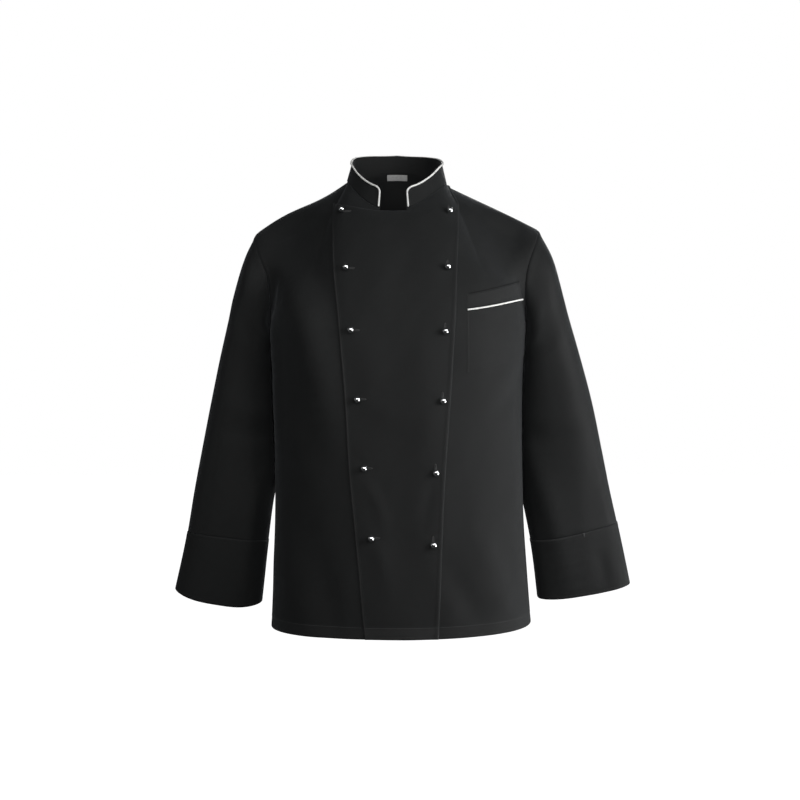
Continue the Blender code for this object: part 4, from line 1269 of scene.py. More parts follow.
def share_normals(cloths: list[Cloth], ring: Array, away: Array, opened: Array) -> None:
    """Give pieces that meet at a seam one normal there: the sum of theirs, made unit.

    At an armhole the direction away from its middle is added, because at the
    armpit body and sleeve hang side by side and only it parts their faces.

    Args:
        cloths: The pieces.
        ring: Armhole points.
        away: Direction away from the armhole's middle at each.
        opened: How far the seam lies open there, 0 to 1.
    """
    borders = [cloth.border() for cloth in cloths]
    places = np.concatenate([cloth.grid[border] for cloth, border in zip(cloths, borders)] + [ring])
    normals = np.concatenate([cloth.normals[border] for cloth, border in zip(cloths, borders)])
    _, group = np.unique(np.round(places, 5), axis=0, return_inverse=True)
    group = group.reshape(-1)
    total = np.zeros((group.max() + 1, 3))
    np.add.at(total, group[:len(normals)], normals)
    at_ring = group[len(normals):]
    total[at_ring] = total[at_ring] * opened[:, None] + away
    shared = unit(total)[group[:len(normals)]]
    start = 0
    for cloth, border in zip(cloths, borders):
        count = int(border.sum())
        cloth.normals[border] = shared[start:start + count]
        start += count


def nearest_distance(points: Array, targets: Array) -> Array:
    """Distance of each point to the nearest of some targets, in chunks of targets.

    Args:
        points: Points in any arrangement.
        targets: The targets, one a row.

    Returns:
        One distance for each point.
    """
    flat = points.reshape(-1, 3)
    nearest = np.full(len(flat), np.inf)
    for part in np.array_split(targets, max(1, len(targets) // TARGET_CHUNK)):
        nearest = np.minimum(nearest, ((flat[:, None] - part[None]) ** 2).sum(axis=2).min(axis=1))
    return np.sqrt(nearest).reshape(points.shape[:-1])


class Surface:
    """The outer face of a cloth piece, to lay seams, studs and pockets on."""

    def __init__(self, cloth: Cloth) -> None:
        """Keep the outer points and the normals."""
        self.outer = cloth.faces_of_wall()[0]
        self.normals = cloth.normals

    def read(self, row: Array, column: Array) -> tuple[Array, Array]:
        """Points and unit normals at fractional rows and columns."""
        return sample(self.outer, row, column), unit(sample(self.normals, row, column))

    def inset(self, side: Side, distance: float, line: float | None = None) -> tuple[Array, Array]:
        """A line inside a side of the grid, or inside another of its lines, at a distance along the cloth.

        Args:
            side: The side.
            distance: Distance inwards from it.
            line: Number of the line to start from, if not the side's own.

        Returns:
            Fractional rows and columns of the line.
        """
        axis, last = side.value
        runs = lengths(np.moveaxis(self.outer, axis, 0))
        numbers = np.arange(len(runs))
        start = numbers[last] if line is None else line
        inward = distance if last == 0 else -distance
        found = np.array([np.interp(np.interp(start, numbers, run) + inward, run, numbers)
                          for run in runs.T])
        other = np.arange(len(found), dtype=float)
        return (other, found) if axis else (found, other)

    def locate(self, across: Array, height: Array) -> tuple[Array, Array]:
        """Fractional rows and columns of places seen from the front.

        From the nearest grid point, Newton's step is repeated: the offset in
        x and z divided by the local slopes along rows and columns.

        Args:
            across: x of each place.
            height: z of each place.

        Returns:
            Fractional rows and columns.
        """
        wanted = np.stack([np.ravel(across), np.ravel(height)], axis=1)
        flat = self.outer[..., [0, 2]].reshape(-1, 2)
        nearest = np.argmin(((wanted[:, None] - flat[None]) ** 2).sum(axis=2), axis=1)
        row, column = (part.astype(float) for part in np.unravel_index(nearest, self.outer.shape[:2]))
        slope_up = np.gradient(self.outer[..., [0, 2]], axis=0)
        slope_across = np.gradient(self.outer[..., [0, 2]], axis=1)
        for _ in range(NEWTON_STEPS):
            here = sample(self.outer, row, column)[:, [0, 2]]
            up, aside = sample(slope_up, row, column), sample(slope_across, row, column)
            off = wanted - here
            area = up[:, 0] * aside[:, 1] - up[:, 1] * aside[:, 0]
            steps = ((off[:, 0] * aside[:, 1] - off[:, 1] * aside[:, 0]) / area,
                     (up[:, 0] * off[:, 1] - up[:, 1] * off[:, 0]) / area)
            row, column = (np.clip(at + NEWTON_SHARE * np.clip(step, -2.0, 2.0), 0.0, size - 1.0)
                           for at, step, size in zip((row, column), steps, self.outer.shape))
        return row, column


# ---- node graphs


Operand = "Expression | float"


class Expression:
    """A number that varies over a surface, with the usual operators."""

    def __init__(self, graph: "Graph", socket: Socket) -> None:
        """Wrap an output socket of a graph."""
        self.graph = graph
        self.socket = socket

    def combine(self, operation: str, *others: Operand) -> "Expression":
        """Math node of this number and others."""
        inputs = dict(enumerate((self,) + others))
        return self.graph.number("ShaderNodeMath", {"operation": operation}, inputs)

    def __add__(self, other: Operand) -> "Expression":
        """Sum."""
        return self.combine("ADD", other)

    __radd__ = __add__

    def __sub__(self, other: Operand) -> "Expression":
        """Difference."""
        return self.combine("SUBTRACT", other)

    def __rsub__(self, other: float) -> "Expression":
        """A constant less this number."""
        return self.graph.number("ShaderNodeMath", {"operation": "SUBTRACT"}, {0: other, 1: self})

    def __mul__(self, other: Operand) -> "Expression":
        """Product."""
        return self.combine("MULTIPLY", other)

    __rmul__ = __mul__

    def __truediv__(self, other: Operand) -> "Expression":
        """Quotient."""
        return self.combine("DIVIDE", other)

    def __rtruediv__(self, other: float) -> "Expression":
        """A constant over this number."""
        return self.graph.number("ShaderNodeMath", {"operation": "DIVIDE"}, {0: other, 1: self})

    def __pow__(self, power: float) -> "Expression":
        """Power."""
        return self.combine("POWER", power)

    def sine(self) -> "Expression":
        """Sine of this number in radians."""
        return self.combine("SINE")

    def clamped(self, low: float, high: float) -> "Expression":
        """This number's part between two limits, as 0 to 1."""
        return self.graph.number("ShaderNodeMapRange", {"interpolation_type": "SMOOTHSTEP"},
                                 {"Value": self, "From Min": low, "From Max": high}, "Result")


class Graph:
    """The node tree of a material or of the world."""

    def __init__(self, tree: bpy.types.NodeTree) -> None:
        """Take a tree and empty it."""
        self.tree = tree
        tree.nodes.clear()

    def node(self, kind: str, settings: dict, inputs: dict) -> bpy.types.Node:
        """Add a node, set its properties and feed its inputs.

        Args:
            kind: The node's type.
            settings: Property names and values.
            inputs: Input names or numbers, each with a value, socket or expression.

        Returns:
            The node.
        """
        made = self.tree.nodes.new(kind)
        for word, value in settings.items():
            setattr(made, word, value)
        for word, value in inputs.items():
            socket = made.inputs[word]
            if isinstance(value, Expression):
                self.tree.links.new(value.socket, socket)
            elif isinstance(value, Socket):
                self.tree.links.new(value, socket)
            else:
                socket.default_value = value
        return made

    def number(self, kind: str, settings: dict, inputs: dict, output: str | int = 0) -> Expression:
        """Add a node and return one of its outputs as an expression."""
        return Expression(self, self.node(kind, settings, inputs).outputs[output])

    def place(self, word: str, scale: tuple[float, float, float] = (1.0, 1.0, 1.0)) -> Socket:
        """Texture coordinates, such as UV or Object, times a scale."""
        source = self.node("ShaderNodeTexCoord", {}, {}).outputs[word]
        made = self.node("ShaderNodeVectorMath", {"operation": "MULTIPLY"}, {0: source, 1: scale})
        return made.outputs[0]

    def parts(self, vector: Socket) -> tuple[Expression, Expression, Expression]:
        """The three coordinates of a vector."""
        made = self.node("ShaderNodeSeparateXYZ", {}, {0: vector})
        return tuple(Expression(self, output) for output in made.outputs)

    def noise(self, vector: Socket, scale: float, detail: float = 3.0) -> Expression:
        """Noise from about 0 to 1."""
        return self.number("ShaderNodeTexNoise", {}, {"Vector": vector, "Scale": scale, "Detail": detail})

    def attribute(self, word: str) -> Expression:
        """A number kept on the mesh."""
        return self.number("ShaderNodeAttribute", {"attribute_name": word}, {}, "Fac")

    def blend(self, share: Expression, first: tuple | Socket, second: tuple) -> Socket:
        """Colour between two colours by a share; the first may be another blend.

        Args:
            share: Share of the second colour.
            first: The first colour.
            second: The second colour.

        Returns:
            The colour.
        """
        start = (*first, 1.0) if isinstance(first, tuple) else first
        made = self.node("ShaderNodeMix", {"data_type": "RGBA"}, {0: share, 6: start, 7: (*second, 1.0)})
        return made.outputs[2]

    def bump(self, height: Expression, distance: float, strength: float,
             below: Socket | None = None) -> Socket:
        """Normal tilted by a height in metres times a distance, over another bump if given.

        Args:
            height: The height.
            distance: What it is multiplied by.
            strength: Share of the tilt, 0 to 1.
            below: The bump underneath.

        Returns:
            The normal.
        """
        inputs = {"Height": height, "Distance": distance, "Strength": strength}
        if below is not None:
            inputs["Normal"] = below
        return self.node("ShaderNodeBump", {}, inputs).outputs[0]

    def surface(self, constants: dict, varying: dict) -> None:
        """End the graph in a Principled surface.

        Args:
            constants: Values set on the shader's own sockets.
            varying: Sockets and expressions that feed it.
        """
        shader = self.node("ShaderNodeBsdfPrincipled", {}, {**constants, **varying})
        self.node("ShaderNodeOutputMaterial", {}, {"Surface": shader.outputs[0]})


@dataclass(frozen=True)
class Finish:
    """A finish, made into one material the first time it is asked for."""

    name: str

    def material(self) -> bpy.types.Material:
        """The finish's material.

        Returns:
            The material.
        """
        found = bpy.data.materials.get(self.name)
        if found:
            return found
        made = bpy.data.materials.new(self.name)
        made.use_nodes = True
        self.draw(Graph(made.node_tree))
        return made

    def draw(self, graph: Graph) -> None:
        """Draw the nodes into the material's graph."""
        raise NotImplementedError


@dataclass(frozen=True)
class Twill(Finish):
    """Black twill: fine diagonal ribs, faint clouds in its tone, paler painted highlights along lit edges
    and a soft sheen.
    """

    dark: tuple = (0.0048, 0.0053, 0.0054)
    pale: tuple = (0.0076, 0.0081, 0.0081)
    # paler colour of the painted highlights along edges, seams and hems
    painted_light: tuple = (0.0155, 0.0158, 0.0158)
    rib: float = 0.0009
    slant: float = 1.6
    cloud_scale: float = 26.0
    grain_scale: float = 900.0
    crush_scale: float = 95.0
    crush_depth: float = 0.0010
    weave_depth: float = 0.00009
    roughness: float = 0.70
    sheen: float = 0.09
    specular: float = 0.20

    def draw(self, graph: Graph) -> None:
        """Ribs are the sine of (u + slant * v) over the rib, broken by the weft's sine along them.

        Args:
            graph: The material's graph.
        """
        flat = graph.place("UV")
        across, up, _ = graph.parts(flat)
        turn = 2 * np.pi / self.rib
        rib = ((across + up * self.slant) * turn).sine()
        weft = ((across * self.slant - up) * (turn * 1.7)).sine()
        place = graph.place("Object")
        cloud = graph.noise(place, self.cloud_scale, 4.0)
        grain = graph.noise(place, self.grain_scale, 2.0)
        crush = graph.noise(place, self.crush_scale, 3.0)
        tone = (cloud * 0.7 + grain * 0.5 - 0.1).clamped(0.15, 0.95)
        colour = graph.blend(tone, self.dark, self.pale)
        # painted highlight: the pale colour is mixed in where the mesh's share says so
        mixed = graph.blend(graph.attribute("painted_light") * (0.85 + 0.3 * grain), colour, self.painted_light)
        creased = graph.bump(crush, self.crush_depth, 0.30)
        woven = graph.bump(rib * 0.5 + weft * 0.22 + grain * 0.6, self.weave_depth, 0.75, creased)
        graph.surface({"Specular IOR Level": self.specular, "Sheen Weight": self.sheen,
                       "Sheen Roughness": 0.45, "Sheen Tint": (0.85, 0.9, 0.95, 1.0)},
                      {"Base Color": mixed, "Roughness": self.roughness + (cloud - 0.5) * 0.12,
                       "Normal": woven})


@dataclass(frozen=True)
class Thread(Finish):
    """Sewing thread: two plies twisted, a little glossier than the cloth."""

    colour: tuple = (0.006, 0.0062, 0.0064)
    pale: tuple = (0.014, 0.0145, 0.0145)
    specular: float = 0.25
    sheen: float = 0.1

    def draw(self, graph: Graph) -> None:
        """Tone and bump follow a fine noise.

        Args:
            graph: The material's graph.
        """
        fuzz = graph.noise(graph.place("Object"), 2600.0, 2.0)
        graph.surface({"Specular IOR Level": self.specular, "Sheen Weight": self.sheen,
                       "Sheen Roughness": 0.4},
                      {"Base Color": graph.blend(fuzz, self.colour, self.pale),
                       "Roughness": 0.45 + fuzz * 0.2, "Normal": graph.bump(fuzz, 0.0001, 0.6)})


@dataclass(frozen=True)
class Piping(Finish):
    """White bias piping: a fine slanting weave round the cord."""

    shaded: tuple = (0.60, 0.60, 0.585)
    clean: tuple = (0.82, 0.82, 0.80)
    rib: float = 0.0007

    def draw(self, graph: Graph) -> None:
        """Ribs are the sine of the slanting running length.

        Args:
            graph: The material's graph.
        """
        along_cord, round_cord, _ = graph.parts(graph.place("UV"))
        rib = ((along_cord + round_cord) * (2 * np.pi / self.rib)).sine()
        soil = graph.noise(graph.place("Object"), 160.0, 4.0)
        graph.surface({"Specular IOR Level": 0.3, "Sheen Weight": 0.25, "Sheen Roughness": 0.5},
                      {"Base Color": graph.blend(soil.clamped(0.25, 0.75), self.shaded, self.clean),
                       "Roughness": 0.66 + soil * 0.15, "Normal": graph.bump(rib + soil, 0.00008, 0.7)})


@dataclass(frozen=True)
class Label(Finish):
    """Woven label, blank: fine ribs from edge to edge."""

    dark: tuple = (0.26, 0.26, 0.26)
    pale: tuple = (0.45, 0.45, 0.44)
    rib: float = 0.0006

    def draw(self, graph: Graph) -> None:
        """Ribs are the sine of the running length up the label.

        Args:
            graph: The material's graph.
        """
        across, up, _ = graph.parts(graph.place("UV"))
        rib = (up * (2 * np.pi / self.rib)).sine() * 0.5 + (across * (2 * np.pi / self.rib)).sine() * 0.3
        soil = graph.noise(graph.place("Object"), 300.0, 3.0)
        tone = (soil * 0.6 + rib * 0.15 + 0.2).clamped(0.1, 0.9)
        graph.surface({"Specular IOR Level": 0.4, "Sheen Weight": 0.1},
                      {"Base Color": graph.blend(tone, self.dark, self.pale),
                       "Roughness": 0.55 + soil * 0.2, "Normal": graph.bump(rib, 0.00006, 0.6)})


@dataclass(frozen=True)
class Steel(Finish):
    """Polished metal with faint smears and fine turning marks."""

    dull: tuple = (0.66, 0.67, 0.68)
    bright: tuple = (0.88, 0.89, 0.90)

    def draw(self, graph: Graph) -> None:
        """Smears are a coarse noise, marks a fine one stretched over the height.

        Args:
            graph: The material's graph.
        """
        smear = graph.noise(graph.place("Object"), 420.0, 3.0)
        marks = graph.noise(graph.place("Object", (900.0, 900.0, 5200.0)), 1.0, 2.0)
        graph.surface({"Metallic": 1.0, "Specular IOR Level": 0.5},
                      {"Base Color": graph.blend(smear.clamped(0.3, 0.7), self.dull, self.bright),
                       "Roughness": 0.12 + smear * 0.10, "Normal": graph.bump(marks, 0.00001, 0.3)})


@dataclass(frozen=True)
class Floor(Finish):
    """Pale matt studio floor."""

    colour: tuple = (0.86, 0.86, 0.86)
    pale: tuple = (0.92, 0.92, 0.92)
    glow: float = 1.05

    def draw(self, graph: Graph) -> None:
        """A faint coarse noise in its tone, lit a little from within as a backlit table is.

        Args:
            graph: The material's graph.
        """
        tone = graph.noise(graph.place("Object"), 0.8, 3.0)
        graph.surface({"Specular IOR Level": 0.1, "Emission Color": (1.0, 1.0, 1.0, 1.0),
                       "Emission Strength": self.glow},
                      {"Base Color": graph.blend(tone, self.colour, self.pale),
                       "Roughness": 0.8 + tone * 0.1})


TWILL = Twill("black_twill_cloth")
THREAD = Thread("black_thread")
# near-black thread without gloss, laid as a painted shadow line
PAINTED_SHADOW_THREAD = Thread("painted_shadow_thread", (0.0012, 0.0012, 0.0012), (0.002, 0.002, 0.002), 0.02, 0.0)
HOLE_THREAD = Thread("buttonhole_thread", (0.014, 0.0142, 0.0144), (0.055, 0.0555, 0.0555))
# thread much paler than the cloth, for the hem stitching and the cuff's tack
PALE_THREAD = Thread("paler_thread", (0.035, 0.0355, 0.0355), (0.100, 0.1010, 0.1010))
PIPING = Piping("white_bias_piping")
LABEL = Label("woven_label")
STEEL = Steel("polished_metal")
FLOOR = Floor("pale_floor")


# ---- small parts

TUBE_LEAN = 0.01                 # turns the sideways line of a tube that runs straight up


def tube(path: Array, radius: Number, sides: int,
         ends: tuple[Array, Array] | None = None) -> tuple[Array, list[Array], Array]:
    """A round bar along a path: rings square to it, closed by a point at each end.

    Args:
        path: Points of its middle line.
        radius: Radius, or one for each point.
        sides: Points of a ring.
        ends: The closing points, if not the path's own ends.

    Returns:
        Vertices, faces and the flat coordinates of each face corner.
    """
    ahead = unit(np.gradient(path, axis=0))
    aside = unit(np.cross(ahead, np.array([0.0, 0.0, 1.0]) + ahead[:, [1, 2, 0]] * TUBE_LEAN))[:, None]
    over = np.cross(aside[:, 0], ahead)[:, None]
    turns = (np.arange(sides) * 2 * np.pi / sides)[:, None]
    radius = np.broadcast_to(np.asarray(radius, float), len(path))
    rings = path[:, None] + radius[:, None, None] * (np.cos(turns) * aside + np.sin(turns) * over)
    number = np.arange(len(path) * sides).reshape(-1, sides)
    after = np.roll(number, -1, axis=1)
    first, last = np.full(sides, number.size), np.full(sides, number.size + 1)
    faces = [quads(number[:-1], number[1:], after[1:], after[:-1]),
             np.stack([number[0], after[0], first], axis=1),
             np.stack([after[-1], number[-1], last], axis=1)]
    flat = stack(lengths(path)[:, None], np.arange(sides + 1) * 2 * np.pi * radius.mean() / sides, 0.0)
    uv = np.stack([flat[:-1, :-1], flat[1:, :-1], flat[1:, 1:], flat[:-1, 1:]], axis=2)[..., :2]
    vertices = np.concatenate([rings.reshape(-1, 3), path[[0, -1]] if ends is None else np.array(ends)])
    return vertices, faces, np.concatenate([uv.reshape(-1, 2), np.zeros((6 * sides, 2))])


class Row(NamedTuple):
    """A row of stitches: its path, the cloth's normals along it and its stitch."""

    path: Array
    normals: Array
    length: float = 0.0024
    pitch: float = 0.0031


@dataclass
class Stitches:
    """Rows of lockstitch, each stitch a small spindle sunk at its ends."""

    name: str
    finish: Finish = THREAD
    width: float = 0.00055
    height: float = 0.00030
    sunk: float = 0.0001
    flank: float = 0.00005
    rows: list[Row] = field(default_factory=list)

    def add(self, surface: Surface, row: Array, column: Array, **stitch: float) -> None:
        """Add a row along fractional rows and columns of a surface."""
        row, column = np.broadcast_arrays(np.asarray(row, float), np.asarray(column, float))
        self.rows.append(Row(*surface.read(row, column), **stitch))

    def beside(self, surface: Surface, side: Side, *insets: float, start: int = 0,
               stop: int | None = None, line: float | None = None, **stitch: float) -> None:
        """Add rows inside a side of a surface.

        Args:
            surface: The surface.
            side: Its side.
            insets: Distance of each row from the side.
            start: First of the grid lines that the rows cross.
            stop: The line before which they end, if not the last.
            line: Number of the line to measure from, if not the side's own.
            stitch: Length or pitch of the stitches.
        """
        for inset in insets:
            row, column = surface.inset(side, inset, line)
            self.add(surface, row[start:stop], column[start:stop], **stitch)

    def build(self) -> Piece:
        """Make all rows as one mesh: each stitch has two sunk ends, two sides, a top and a bottom.

        Returns:
            The piece.
        """
        ends, tops = [], []
        for row in self.rows:
            run = lengths(row.path)
            middles = np.arange(row.pitch, run[-1] - row.pitch / 2, row.pitch)
            ends.append([along(row.path, run, middles + half * row.length) for half in (-0.5, 0.5)])
            tops.append(unit(along(row.normals, run, middles)))
        low, high = np.concatenate(ends, axis=1)
        normal, middle = np.concatenate(tops), (low + high) / 2
        aside = unit(np.cross(normal, high - low)) * self.width / 2
        points = np.stack([low - normal * self.sunk, high - normal * self.sunk,
                           middle + aside + normal * self.flank, middle - aside + normal * self.flank,
                           middle + normal * self.height, middle - normal * self.sunk], axis=1)
        pattern = np.array([(0, 2, 4), (2, 1, 4), (1, 3, 4), (3, 0, 4),
                            (2, 0, 5), (1, 2, 5), (3, 1, 5), (0, 3, 5)])
        numbers = 6 * np.arange(len(middle))[:, None, None] + pattern
        piece = mesh_piece(self.name, points.reshape(-1, 3), [numbers.reshape(-1, 3)])
        register(piece, self.finish, "black_twill")
        return piece


# ---- the jacket


@dataclass
class Jacket:
    """All cloth panels, worked out together because they share their seams."""

    grids: BodyGrids = field(default_factory=BodyGrids)
    wall: float = 0.0018
    layer_step: float = 0.0023
    parting: float = 0.0003
    still: float = 0.035             # panels don't fold this close to neck, shoulder and armhole
    flank: tuple[float, float] = (0.012, 0.045)     # nor this close to the plane of the side seams
    armhole_opens: float = 0.7
    hem: float = 0.0195
    # shares of painted light along the hem
    hem_painted_light: tuple[float, float] = (0.35, 0.7)     # of the panels, and of the overlap

    def __post_init__(self) -> None:
        """Work out the folded front and back."""
        grids = self.grids
        self.row_steps = grids.row_steps()
        self.column_steps = grids.column_steps()
        self.front = Cloth("front", grids.front(), 0.0, self.wall)
        self.back = Cloth("back_panel", grids.back(), 0.0, self.wall)
        share_normals([self.front, self.back], np.zeros((0, 3)), np.zeros((0, 3)), np.zeros(0))
        self.front.push(self.folds(self.front.grid, Facing.FRONT))
        self.back.push(self.folds(self.back.grid, Facing.BACK))

    def column(self, coarse: float) -> int:
        """Fine column of the front at a coarse one."""
        return int(np.argmin(np.abs(self.column_steps - coarse)))

    def row(self, coarse: float) -> int:
        """Fine row of the body at a coarse one."""
        return int(np.argmin(np.abs(self.row_steps - coarse)))

    def folds(self, grid: Array, facing: Facing) -> Array:
        """Height of the folds at each point, fading to the seams that must lie still.

        Args:
            grid: The panel's smooth points.
            facing: Front or back half.

        Returns:
            One height for each point.
        """
        armpit = self.row(self.grids.lower_rows)
        rim = np.concatenate([grid[-1], grid[armpit:, 0], grid[armpit:, -1]])
        still = ease(nearest_distance(grid, rim) / self.still)
        beside = ease((np.abs(grid[..., 1]) - self.flank[0]) / self.flank[1])
        x, z = grid[..., 0], grid[..., 2]
        height = fold_field(x, z, BODY_FOLDS[facing])
        for ripple in RIPPLES[facing]:
            height += rippled(x, z, ripple)
        return height * still * beside

    def armhole_ring(self, hand: Hand) -> tuple[Array, Array]:
        """Armhole points and their turns, from the armpit over the front (right) or back (left).

        Args:
            hand: The wearer's side.

        Returns:
            Points, and turns in radians counted towards the front.
        """
        start = self.row(self.grids.lower_rows)
        rise = (self.row_steps[start:] - self.grids.lower_rows) / self.grids.upper_rows * np.pi
        front, back = self.front.grid[start:], self.back.grid[start:]
        up, down = (front[:, 0], back[:, -1]) if hand is Hand.RIGHT else (back[:, 0], front[:, -1])
        turns = np.concatenate([rise, 2 * np.pi - rise[-2:0:-1]])
        return np.concatenate([up, down[-2:0:-1]]), -hand.value * turns

    def cut(self) -> dict[str, Cloth]:
        """Cut fronts, overlap and back out of the two grids.

        Returns:
            The cloth of each body panel, under its solid's name.
        """
        marks = {word: self.column(coarse) for word, coarse in self.grids.marks.items()}
        over_row, rows = self.row(self.grids.overlap_row), len(self.row_steps) - 1
        free_edge, tuck, seam = marks["free_edge"], marks["tuck"], marks["seam"]
        under = np.ones((rows, tuck), bool)
        under[over_row:, marks["collar_right"]:] = False
        upper = np.ones((rows, seam - free_edge), bool)
        upper[over_row:, :marks["collar_left"] - free_edge] = False

        def panel(name: str, start: int, stop: int | None, above: float = 0.0,
                  below: float = self.wall, cells: Array | None = None) -> Cloth:
            """The front's columns from one up to another, with the front's normals.

            Args:
                name: The piece's name.
                start: First column.
                stop: Column before which it ends, or None.
                above: Height of the outer face.
                below: Depth of the inner face.
                cells: Which cells hold cloth, or all of them.

            Returns:
                The cloth.
            """
            cloth = Cloth(name, self.front.grid[:, start:stop], above, below, cells)
            cloth.normals = self.front.normals[:, start:stop].copy()
            return cloth

        right = panel("right_front_panel", 0, tuck + 1, cells=under)
        left = panel("left_front_panel", tuck, None)
        overlap = panel("overlap_panel", free_edge, seam + 1, self.layer_step, -self.parting, upper)
        for cloth in (right, left, self.back, overlap):
            cloth.parting = (Side.TOP,) if cloth is overlap else (Side.TOP, Side.FIRST, Side.LAST)
            # painted light: the hem band is painted paler for the light it catches from below, more on the
            # overlap
            cloth.wear.append(Wear(Side.BOTTOM, self.hem, 0.0010, self.hem_painted_light[cloth is overlap]))
            cloth.beads += [Bead(Side.BOTTOM, 0.0192, 0.0012, 0.0006),
                            Bead(Side.BOTTOM, 0.0165, 0.0012, -0.0004)]
        # painted highlights: a bright line along the free edge, where its raised fold catches the light,
        # and a fainter one along the seam
        overlap.wear += [Wear(Side.FIRST, 0.0026, 0.0010, 1.0), Wear(Side.LAST, 0.0045, 0.0050, 0.2)]
        overlap.beads += [Bead(Side.FIRST, 0.0016, 0.0012, 0.0006), Bead(Side.LAST, 0.0034, 0.0026, 0.0008)]
        return {"right_front": right, "left_front": left, "front_overlap": overlap, "back": self.back}


@dataclass
class Arm:
    """A sleeve and its cuff as one tube from the armhole to the cuff's edge.

    Each ring is a superellipse, tilted from its outer to its inner point, and
    the rings are joined by smooth curves along the arm.
    """

    hand: Hand
    jacket: Jacket
    squareness: float = 3.0
    clearance: float = 0.0028
    clearance_onset: float = 0.025
    cuff_proud: float = 0.0008
    girth_radius: float = 0.071
    sleeve_rows: int = 84
    cuff_rows: int = 22
    fade: float = 0.045
    edge_fade: tuple[float, float] = (0.10, 0.45)
    lag_slant: float = 1.3
    wave: tuple[float, int, float] = (0.0006, 3, 14.0)      # height, waves round, turn per metre
    edge_lines: tuple[float, float] = (0.0012, 0.003)

    def ring(self, row: Ring, turns: Array, dip: float = 0.0) -> Array:
        """Superellipse ring; turn 0 at the inner point, 90 degrees in front.

        Args:
            row: The ring's points.
            turns: Turns in radians.
            dip: How far it hangs lower in front.

        Returns:
            Points.
        """
        power = 2.0 / self.squareness
        inward, forward = bulged(np.cos(turns), power), bulged(np.sin(turns), power)
        middle, half_depth = (row.front + row.back) / 2, (row.back - row.front) / 2
        lean = (row.inner_setback - middle) * ((1.0 + inward) / 2) ** 2
        across = (row.outer + row.inner) / 2 + (row.inner - row.outer) / 2 * inward
        height = ((row.outer_height + row.inner_height) / 2
                  + (row.inner_height - row.outer_height) / 2 * inward)
        return stack(self.hand.value * across, middle + lean - half_depth * forward,
                     height - dip * np.clip(np.sin(turns), 0.0, 1.0) ** 2)

    def kept_clear(self, points: Array) -> Array:
        """Points moved out sideways where they would touch the body, from just under the armpit.

        Args:
            points: Points of the arm.

        Returns:
            The points, moved where needed.
        """
        form = self.jacket.grids.form
        below = ease((form.armpit - points[..., 2]) / self.clearance_onset)
        limit = form.half_width(points[..., 2], points[..., 1], self.hand) + self.clearance * below
        reach = np.abs(points[..., 0])
        wanted = np.where(points[..., 2] < form.armpit, np.maximum(reach, limit), reach)
        return stack(self.hand.value * wanted, points[..., 1], points[..., 2])

    def shaped(self, at: Array, places: Array, stations: Array, turns: Array) -> Array:
        """Rows of the tube, folded: smooth curves through its stations, pushed out by the folds.

        Args:
            at: Running length of each row.
            places: Running length of each station.
            stations: The stations' points.
            turns: Turn of each column in radians.

        Returns:
            Points, rows by columns.
        """
        look, radius = ARM_LOOKS[self.hand], self.girth_radius
        plain = Cloth("plain", self.kept_clear(smooth(at, places, stations)), 0.0, 0.0, closed=True)
        across = ((turns + np.pi) % (2 * np.pi) - np.pi) * radius
        side, up = np.broadcast_arrays(across[None], -at[:, None])
        height, waves, slant = self.wave
        heights = height * np.sin(waves * side / radius + slant * up + look.wave_phase)
        heights += fold_field(side + look.fold_lag, up + self.lag_slant * look.fold_lag, SLEEVE_FOLDS,
                              2 * np.pi * radius)
        heights += fold_field(side, up, ARM_FOLDS[self.hand], 2 * np.pi * radius)
        end = (places[-1] - at) / self.edge_fade[0] + self.edge_fade[1]
        heights *= (ease(at / self.fade) * ease(end))[:, None]
        return self.kept_clear(plain.grid + plain.normals * heights[..., None])

    def cut(self) -> tuple[Cloth, Cloth]:
        """Cut sleeve and cuff out of one tube through the armhole and the rings.

        Returns:
            The sleeve's and the cuff's cloth.
        """
        look, wall = ARM_LOOKS[self.hand], self.jacket.wall
        armhole, turns = self.jacket.armhole_ring(self.hand)
        *upper, seam = SLEEVE_RINGS[self.hand]
        stations = np.array([armhole] + [self.ring(row, turns) for row in upper]
                            + [self.ring(seam, turns, look.seam_dip),
                               self.ring(CUFF_EDGE[self.hand], turns, look.cuff_dip)])
        places = lengths(stations).mean(axis=1)
        close = np.array(self.edge_lines)

        def tube_of(name: str, start: float, end: float, rows: int, proud: float) -> Cloth:
            """Cloth between two running lengths, with lines close to its ends.

            Args:
                name: The piece's name, without its side.
                start: Running length at which it starts.
                end: Running length at which it ends.
                rows: Number of even rows.
                proud: Height of its outer face.

            Returns:
                The cloth.
            """
            at = np.unique(np.concatenate([np.linspace(start, end, rows), start + close, end - close]))
            return Cloth(f"{self.hand.word}_{name}", self.shaped(at, places, stations, turns), proud,
                         wall - proud, closed=True)

        sleeve = tube_of("sleeve_tube", 0.0, places[-2], self.sleeve_rows, 0.0)
        cuff = tube_of("cuff_band", places[-2], places[-1], self.cuff_rows, self.cuff_proud)
        sleeve.parting, cuff.parting = (Side.BOTTOM, Side.TOP), (Side.BOTTOM,)
        sleeve.beads.append(Bead(Side.BOTTOM, 0.0046, 0.0030, 0.0009))
        # painted highlight along the cuff's top edge, where it catches the light; the same share sets the
        # height of the ridge
        cuff.wear.append(Wear(Side.BOTTOM, 0.0026, 0.0016, look.cuff_edge_highlight))
        cuff.beads.append(Bead(Side.BOTTOM, 0.0026, 0.0020, 0.0004 * look.cuff_edge_highlight))
        return sleeve, cuff


